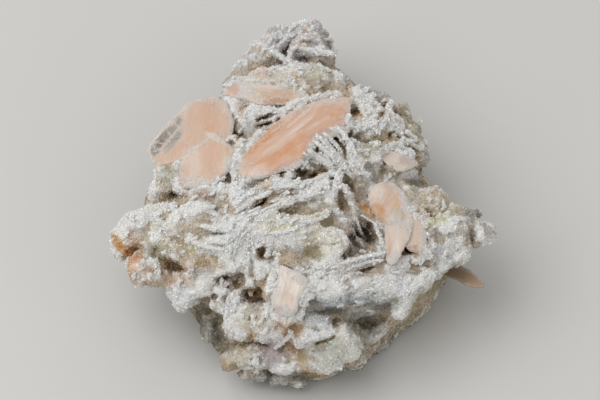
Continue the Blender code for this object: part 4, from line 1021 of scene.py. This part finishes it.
# Where sugar lies thick on a stilbite's face: across, up, half width, half rise and turn.
SUGARED = [
    (-29.5, 5.8, 7, 2.6, -8), (-21.4, 11, 2, 4, -10), (-16.4, 34.4, 2.6, 3, 0), (2.4, 33.4, 3.4, 1.8, -20),
    (-5, 36.4, 7, 1, -4), (6.4, 19.4, 4.6, 1.8, 20), (-14, 8.2, 4, 1.2, 8), (-1, 11.6, 2.6, 1.4, 20),
    (13.6, 22.6, 1.6, 3, -20), (0.6, -21.4, 2.6, 2.4, 0), (-5.4, -31.4, 3.4, 2, 0), (-7.8, -24, 1.4, 5, -8),
    (28.4, -16, 2.6, 2.6, 0), (36.6, -10, 1.4, 5, 0), (30.6, 4, 1.4, 3, 20), (33.4, 14.6, 2.4, 0.9, -10),
    (29.4, -5.4, 4, 1.3, -12), (32.2, -8.6, 0.8, 4.8, 6), (31.2, 1.6, 1.6, 4.4, 10),
]

# Where the left pair is clear, and the pale cleavage cracks that cross the clear part.
CLEAR_SPOTS = [
    (-40.6, 20.4, 2, 7.6, -41, 0.9), (-38.2, 19.4, 2.2, 4.6, -38, 0.75), (-43.6, 16.6, 1.8, 2, -40, 0.8),
]
CRACKS = [
    ((-38.6, 16.6), (-32.6, 24.6)), ((-42.6, 14.6), (-37.4, 18.8)), ((-40.2, 18.4), (-34, 26.2)),
    ((-43.4, 18.8), (-39.8, 18.2)), ((-39.8, 22), (-38.2, 20.2)), ((-36.4, 22.6), (-34.4, 20.6)),
    ((-44.2, 16), (-41, 17)), ((-41.6, 20.2), (-39.2, 19.2)), ((-37.6, 24.6), (-35.6, 23)),
    ((-36, 18), (-33.4, 19.4)), ((-42, 16.8), (-36.6, 22.8)),
]


def plate_places(points, turn, fan):
    """Along and across the plates in mm: the face turned by an angle, the plates fanned from the middle."""
    across, up = face_of(points)
    across, up = across - across.mean(), up - up.mean()
    angle = math.radians(turn)
    along = across * math.cos(angle) + up * math.sin(angle)
    over = up * math.cos(angle) - across * math.sin(angle)
    return along, over / (1 + fan * np.abs(along) / np.abs(along).max())


def sheaf(outline, crown, keel, turn, fan, rounds, flat, salt):
    """One sheaf as rings s = 1 - (1 - t)^1.6 of its rim: middle + (rim - middle) * s, lifted by
    crown * sqrt(1 - s^flat) to the viewer or keel * sqrt(1 - s^4) away, with the plates' steps on top."""
    rim = rounded(outline, rounds, SHEAF_STEPS)
    if np.sum(rim[:, 0] * np.roll(rim[:, 1], -1) - np.roll(rim[:, 0], -1) * rim[:, 1]) < 0:
        rim = rim[::-1]
    middle = rim.mean(0)
    around = np.column_stack([rim[:, :2] - middle[:2], np.ones(len(rim))])
    fit = np.linalg.lstsq(around, rim[:, 2], rcond=None)[0]
    front = 1 - (1 - np.linspace(0, 1, CROWN_RINGS + 1)[1:]) ** EDGE_CROWDING
    back = (1 - (1 - np.linspace(0, 1, KEEL_RINGS + 1)[1:-1]) ** EDGE_CROWDING)[::-1]
    share = np.concatenate([front, back])
    lift = np.concatenate([crown * np.sqrt(1 - front ** flat), -keel * np.sqrt(1 - back ** 4)])
    place = middle[:2] + (rim[None, :, :2] - middle[:2]) * share[:, None, None]
    level = (place - middle[:2]) @ fit[:2] + fit[2]
    height = level + (rim[:, 2] - level[CROWN_RINGS - 1])[None] * share[:, None] + lift[:, None]
    points = face_point(place[..., 0], place[..., 1], height).reshape(-1, 3)
    poles = face_point(middle[0], middle[1], fit[2] + np.array((crown, -keel)))
    points = np.vstack([points, poles])
    along, over = plate_places(points, turn, fan)
    stripes = np.stack([along / PLATE_STRETCH, over, np.zeros(len(along))], 1) * MM
    steps = layered(stripes, ((0.7, 2.6, salt), (0.2, 0.8, salt + 1))) / PLATE_STEP
    steps = PLATE_STEP * (np.floor(steps) + rise_between(steps - np.floor(steps), 0.5, 1.0))
    fine = 0.03 * soft_noise(stripes, 0.4, salt + 2) + 0.3 * soft_noise(points, 5.0, salt + 3)
    eased = np.concatenate([np.repeat(1 - share ** 5, SHEAF_STEPS), (1.0, 1.0)])
    eased[CROWN_RINGS * SHEAF_STEPS:-2] = 0
    eased[-1] = 0
    points = points + ((STEP_LIFT * steps + fine - 0.1) * eased * MM)[:, None] * TO_VIEWER
    (a, b, c, d), (spot, after), (last, last_after) = ring_corners(len(share), SHEAF_STEPS)
    top, foot = np.full(SHEAF_STEPS, len(points) - 2), np.full(SHEAF_STEPS, len(points) - 1)
    triangles = np.concatenate([
        np.stack([a, c, d], -1).reshape(-1, 3), np.stack([a, d, b], -1).reshape(-1, 3),
        np.stack([top, spot, after], -1), np.stack([foot, last_after, last], -1),
    ])
    shares = np.concatenate([np.repeat(share, SHEAF_STEPS), (0, 0)])
    return points, triangles, np.stack([along, over], 1), shares


def stilbite_material(name, clear):
    """Stilbite: peach to pale, see-through near the surface, striped along its plates every 0.3 to 1 mm,
    with the pearly sheen of cleavage plates; where it is clear, light goes straight through."""
    material, tree, shader = start_material(name)
    stain = add_node(tree, "ShaderNodeVertexColor", {"layer_name": "stain"}).outputs["Color"]
    plates = add_node(tree, "ShaderNodeUVMap", {"uv_map": "plates"}).outputs["UV"]
    drawn = add_node(tree, "ShaderNodeMapping", {"Scale": (0.12, 1.0, 1.0)}, {"Vector": plates}).outputs[0]
    streaks = add_node(tree, "ShaderNodeTexNoise", {"Scale": 1.6, "Detail": 5.0, "Roughness": 0.65},
                       {"Vector": drawn}).outputs["Fac"]
    shade = add_node(tree, "ShaderNodeMapRange",
                     {"From Min": 0.3, "From Max": 0.72, "To Min": 0.93, "To Max": 1.06}, {"Value": streaks})
    tinted = add_node(tree, "ShaderNodeVectorMath", {"operation": "SCALE"},
                      {0: stain, "Scale": shade.outputs[0]})
    gloss = add_node(tree, "ShaderNodeMapRange", {"To Min": 0.5, "To Max": 0.34}, {"Value": streaks})
    fine = add_node(tree, "ShaderNodeTexNoise", {"Scale": 5.0, "Detail": 3.0}, {"Vector": drawn})
    bump = add_node(tree, "ShaderNodeBump", {"Strength": 0.3, "Distance": 0.1 * MM},
                    {"Height": fine.outputs["Fac"]})
    for socket, node in (("Base Color", tinted), ("Roughness", gloss), ("Normal", bump)):
        tree.links.new(node.outputs[0], shader.inputs[socket])
    set_sockets(shader, {
        "IOR": 1.5, "Subsurface Weight": 0.4, "Subsurface Radius": (1.0, 0.6, 0.4),
        "Subsurface Scale": 1.6 * MM, "Coat Weight": 0.25, "Coat Roughness": 0.3,
    })
    if clear:
        through = add_node(tree, "ShaderNodeAttribute", {"attribute_name": "clear"}).outputs["Fac"]
        tree.links.new(through, shader.inputs["Transmission Weight"])
    return material


def clear_share(points):
    """How clear the left pair is at points: inside its clear spots, except within 0.2 mm of a crack."""
    across, up = face_of(points)
    frayed = layered(points, ((0.3, 2.0, 61), (0.1, 0.6, 63)))
    clear = np.zeros(len(points))
    for *place, strength in CLEAR_SPOTS:
        out = ellipse(across, up, *place)
        clear = np.maximum(clear, strength * (1 - rise_between(out + frayed, 0.35, 1.25)))
    for start, end in CRACKS:
        run, climb = np.subtract(end, start)
        right, above = across - start[0], up - start[1]
        share = np.clip((right * run + above * climb) / (run ** 2 + climb ** 2), 0, 1)
        off = np.hypot(right - share * run, above - share * climb)
        clear *= 0.4 + 0.6 * rise_between(off + 0.08 * soft_noise(points, 0.8, 62), 0.05, 0.24)
    return clear


def sugared(points):
    """How thick sugar lies on a stilbite's face at points, 0 to 1: the thickest of its places there."""
    across, up = face_of(points)
    frayed = layered(points, ((0.3, 1.8, 64), (0.2, 0.7, 65)))
    outs = [ellipse(across, up, *place) for place in SUGARED]
    return 1 - rise_between(np.min(outs, axis=0) + frayed, *STAIN_FADE)


def stilbite(node, material):
    """One stilbite piece: its sheaves, their colours and their plates' directions."""
    colour, plates = PLATES[node]
    sheaves = [
        sheaf(*shape, *plate, SHEAF_SALT + 5 * number)
        for number, (shape, plate) in enumerate(zip(SHEAVES[node], plates))
    ]
    points, triangles = stacked([one[:2] for one in sheaves])
    places, shares = (np.concatenate([one[part] for one in sheaves]) for part in (2, 3))
    mesh = new_mesh(node, points, triangles, True)
    layer = mesh.uv_layers.new(name="plates")
    layer.data.foreach_set("uv", places[triangles.ravel()].astype(np.float32).ravel())
    box_map(mesh, points, triangles)
    base = np.tile(linear(colour), (len(points), 1))
    draw = np.full(len(points), 3.0 * len(points))
    drift = np.stack([places[:, 0] / VEIL_STRETCH, places[:, 1], draw], 1) * MM
    veiled = rise_between(layered(drift, ((1, 2.4, 66), (0.6, 0.9, 67))), 0.0, 1.1)
    base = toward(base, VEIL, 0.5 * veiled)
    patch = layered(points, ((1, 2.4, 68), (0.5, 0.9, 69)))
    frosted = np.maximum(rise_between(shares + 0.12 * patch, 0.78, 1.0) * FROST[node][0], sugared(points))
    base = toward(base, VEIL, 0.8 * frosted)
    colours = stained(base, points, SHEAF_STAINS, np.ones(len(points)))
    if node == "stilbite_left_pair":
        edge = rise_between(shares, 0.93, 0.97)
        clear = clear_share(points) * (1 - edge)
        colours = toward(toward(colours, VEIL, 0.3 * edge), CLEAR, clear)
        mesh.attributes.new("clear", "FLOAT", "POINT").data.foreach_set("value", clear.astype(np.float32))
    set_colours(mesh, "stain", colours)
    mesh.materials.append(material)
    piece = shown(node + "_crystal", mesh)
    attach(piece, "root")
    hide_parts(node)
    crystal_skins.append((points, triangles, shares, colours, FROST[node]))
    return piece


crystal_skins = []
peach_stuff = stilbite_material("peach_stilbite", False)
clear_stuff = stilbite_material("pink_and_clear_stilbite", True)
pale_stuff = stilbite_material("pale_stilbite", False)
stilbite("stilbite_main_blade", peach_stuff)
stilbite("stilbite_left_pair", clear_stuff)
stilbite("stilbite_top_blade", peach_stuff)
stilbite("stilbite_right_pair", peach_stuff)
stilbite("stilbite_right_small", pale_stuff)
stilbite("stilbite_lower_middle", pale_stuff)
stilbite("stilbite_lower_right_spear", pale_stuff)

# The sugar: quartz crystals under a millimetre that stand on the crust by the hundred thousand, as
# short double points at every angle, thickest where the druse faces the open cavity.
GRAINS_EACH = 23000
GRAIN_PIECES = 4
FROST_GRAINS = 16000
GRAIN_CORNERS = 6
GRAIN_SEED = 12

# A grain's half width and half height in mm, its tilt, how low it may stand and how far it keeps inside the
# solids' box, then its whitening and how many are painted brighter as glints and by how much, and the
# frost's own tilt and size.
GRAIN_WIDTH = (0.13, 0.42)
GRAIN_HEIGHT = (0.18, 0.66)
GRAIN_TILT = 0.9
GRAIN_FOOT = 0.8
GRAIN_MARGIN = 0.005
GRAINS_WHITE = 0.05
GLINT_SHARE = 0.12
GLINT_GAIN = 1.3
FROST_TILT = 0.8
FROST_SCALE = 0.6


def grain_material():
    """Clear to milky quartz grains: white, hard and bright, each face a small mirror."""
    material, tree, shader = start_material("quartz_grains")
    stain = add_node(tree, "ShaderNodeVertexColor", {"layer_name": "stain"}).outputs["Color"]
    place = add_node(tree, "ShaderNodeTexCoord").outputs["Object"]
    frost = add_node(tree, "ShaderNodeTexNoise", {"Scale": 1 / (0.9 * MM)}, {"Vector": place}).outputs["Fac"]
    gloss = add_node(tree, "ShaderNodeMapRange", {"To Min": 0.06, "To Max": 0.3}, {"Value": frost})
    tree.links.new(stain, shader.inputs["Base Color"])
    tree.links.new(gloss.outputs[0], shader.inputs["Roughness"])
    set_sockets(shader, {
        "IOR": 1.54, "Subsurface Weight": 0.35, "Subsurface Radius": (1.0, 0.95, 0.88),
        "Subsurface Scale": 0.4 * MM,
    })
    return material


def grain_field(points, triangles, normals, count, chance):
    """Grains on the crust and its rods, thickest where they face the viewer, tilted at random about the
    normal; a share of them are painted brighter as glints."""
    weight = 0.12 + 0.88 * rise_between(normals @ TO_VIEWER, -0.3, 0.3)
    weight = weight * (points[triangles].mean(1)[:, 2] > GRAIN_FOOT * MM)
    spots, face = surface_spots(points, triangles, weight, count, chance)
    axes = unit(normals[face] + GRAIN_TILT * chance.standard_normal((count, 3)))
    corners, many = grain_shapes(spots, axes, 1.0, chance)
    on_rod = triangles[face, 0] >= len(druse_points)
    whiter = np.where(on_rod, RODS_WHITE, GRAINS_WHITE) * whitened(spots)
    colour = toward(crust_colour(spots, normals[face]), WHITE, whiter)
    # Painted glints: a share of the grains made brighter than their colour.
    bright = chance.random((count, 1)) < GLINT_SHARE
    colour *= np.where(bright, GLINT_GAIN, chance.uniform(0.88, 1.08, (count, 1)))
    return corners, many, np.repeat(colour, GRAIN_CORNERS, 0)


def between(span, share):
    """The value at a share of the way through a span."""
    return span[0] + (span[1] - span[0]) * share


def grain_shapes(spots, axes, scale, chance):
    """Double points a * x, b * y, c * z round an axis at each spot, most of them small: their corners and
    triangles."""
    count = len(spots)
    side = unit(np.cross(axes, chance.standard_normal((count, 3))))
    other = np.cross(axes, side)
    grown = chance.random(count) ** 2
    wide = between(GRAIN_WIDTH, grown[:, None]) * chance.uniform(0.8, 1.2, (count, 2)) * scale * MM
    tall = between(GRAIN_HEIGHT, grown)[:, None] * scale * MM
    corners = np.stack([
        side * wide[:, :1], other * wide[:, 1:], -side * wide[:, :1], -other * wide[:, 1:],
        axes * tall, -axes * tall,
    ], 1) + spots[:, None]
    one = np.array([(0, 1, 4), (1, 2, 4), (2, 3, 4), (3, 0, 4), (1, 0, 5), (2, 1, 5), (3, 2, 5), (0, 3, 5)])
    many = one[None] + (np.arange(count) * GRAIN_CORNERS)[:, None, None]
    return corners.reshape(-1, 3), many.reshape(-1, 3)


def frost_field(count, chance):
    """The sugar on the stilbites: small grains, thick at the rims and in patches, thin in the middles."""
    points, triangles = stacked([skin[:2] for skin in crystal_skins])
    weights = []
    for skin_points, skin_triangles, shares, colours, (rim, middle) in crystal_skins:
        centre = skin_points[skin_triangles].mean(1)
        patch = layered(centre, ((1, 3.0, 71), (0.5, 1.2, 72)))
        near = rise_between(shares[skin_triangles].mean(1) + 0.16 * patch, 0.66, 1.0)
        thin = middle * rise_between(patch, -0.2, 0.6)
        weights.append(thin + (rim - middle) * near + 1.4 * sugared(centre))
    normals = face_normals(points, triangles)
    weight = np.concatenate(weights) * rise_between(normals @ TO_VIEWER, 0.0, 0.2)
    spots, face = surface_spots(points, triangles, weight, count, chance)
    axes = unit(normals[face] + FROST_TILT * chance.standard_normal((count, 3)))
    corners, many = grain_shapes(spots, axes, FROST_SCALE, chance)
    colours = np.concatenate([skin[3] for skin in crystal_skins])[triangles[face, 0]]
    colours = toward(colours, WHITE, chance.uniform(0.2, 0.8, count))
    return corners, many, np.repeat(colours, GRAIN_CORNERS, 0)


grain_stuff = grain_material()
all_points, all_triangles = stacked([(druse_points, druse_triangles), (rod_points, rod_triangles)])
all_normals = face_normals(all_points, all_triangles)
for number in range(GRAIN_PIECES + 1):
    chance = np.random.default_rng(GRAIN_SEED + number)
    if number < GRAIN_PIECES:
        name = f"quartz_grains_{number + 1}"
        points, triangles, colours = grain_field(all_points, all_triangles, all_normals, GRAINS_EACH, chance)
    else:
        name = "frost_on_stilbite"
        points, triangles, colours = frost_field(FROST_GRAINS, chance)
    points = boxed(points, GRAIN_MARGIN, GRAIN_MARGIN)
    grain_mesh = new_mesh(name, points, triangles, False)
    set_colours(grain_mesh, "stain", np.clip(colours, 0, 0.95))
    box_map(grain_mesh, points, triangles)
    grain_mesh.materials.append(grain_stuff)
    grains = shown(name, grain_mesh)
    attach(grains, "root")

# The stage: a plain pale floor, a broad soft lamp above the viewer's left, a weaker one opposite,
# and the camera that looks down along the line of sight.
FLOOR_HALF = 3.0
FRAME_WIDTH = 180.0
CAMERA_REACH = 2.0
CAMERA_SEES = 20.0
SENSOR = 36.0
AIM = (0.0, 1.5, 30.0)
ROOM_LIGHT = 0.52

# Lamps: the way to each, how far off it is and how wide, in m, and its power in watts.
LAMPS = {
    "key_lamp": ((-0.52, -0.12, 0.95), 1.0, 0.9, 6.4),
    "fill_lamp": ((0.8, -0.8, 0.6), 1.2, 0.9, 1.5),
    "back_lamp": ((0.3, 1.0, 0.7), 1.2, 0.8, 0.8),
}

floor_mesh = bpy.data.meshes.new("floor")
floor_corners = [(x * FLOOR_HALF, y * FLOOR_HALF, 0.0) for x, y in ((-1, -1), (1, -1), (1, 1), (-1, 1))]
floor_mesh.from_pydata(floor_corners, [], [(0, 1, 2, 3)])
floor = shown("floor", floor_mesh)
floor_stuff, _, floor_shader = start_material("matt_paper")
set_sockets(floor_shader, {"Base Color": (*linear("#c9c8c6"), 1.0), "Roughness": 0.9})
floor_mesh.materials.append(floor_stuff)


def soft_lamp(name, direction, reach, size, power):
    """A square lamp that faces the object from a direction."""
    lamp = bpy.data.lights.new(name, "AREA")
    lamp.size = size
    lamp.energy = power
    holder = shown(name, lamp)
    away = Vector(direction).normalized()
    holder.location = away * reach
    holder.rotation_euler = away.to_track_quat("Z", "Y").to_euler()


for name, values in LAMPS.items():
    soft_lamp(name, *values)
world = bpy.data.worlds.new("pale_room")
bpy.context.scene.world = world
world.use_nodes = True
set_sockets(world.node_tree.nodes["Background"], {"Color": (1.0, 0.99, 0.97, 1.0), "Strength": ROOM_LIGHT})

lens = bpy.data.cameras.new("camera")
lens.sensor_width = SENSOR
lens.lens = SENSOR * CAMERA_REACH / (FRAME_WIDTH * MM)
lens.clip_end = CAMERA_SEES
camera = shown("camera", lens)
camera.location = face_point(*AIM) + TO_VIEWER * CAMERA_REACH
camera.rotation_euler = (math.pi / 2 - SIGHT_RISE, 0.0, 0.0)
bpy.context.scene.camera = camera
bpy.context.scene.view_settings.view_transform = "Standard"
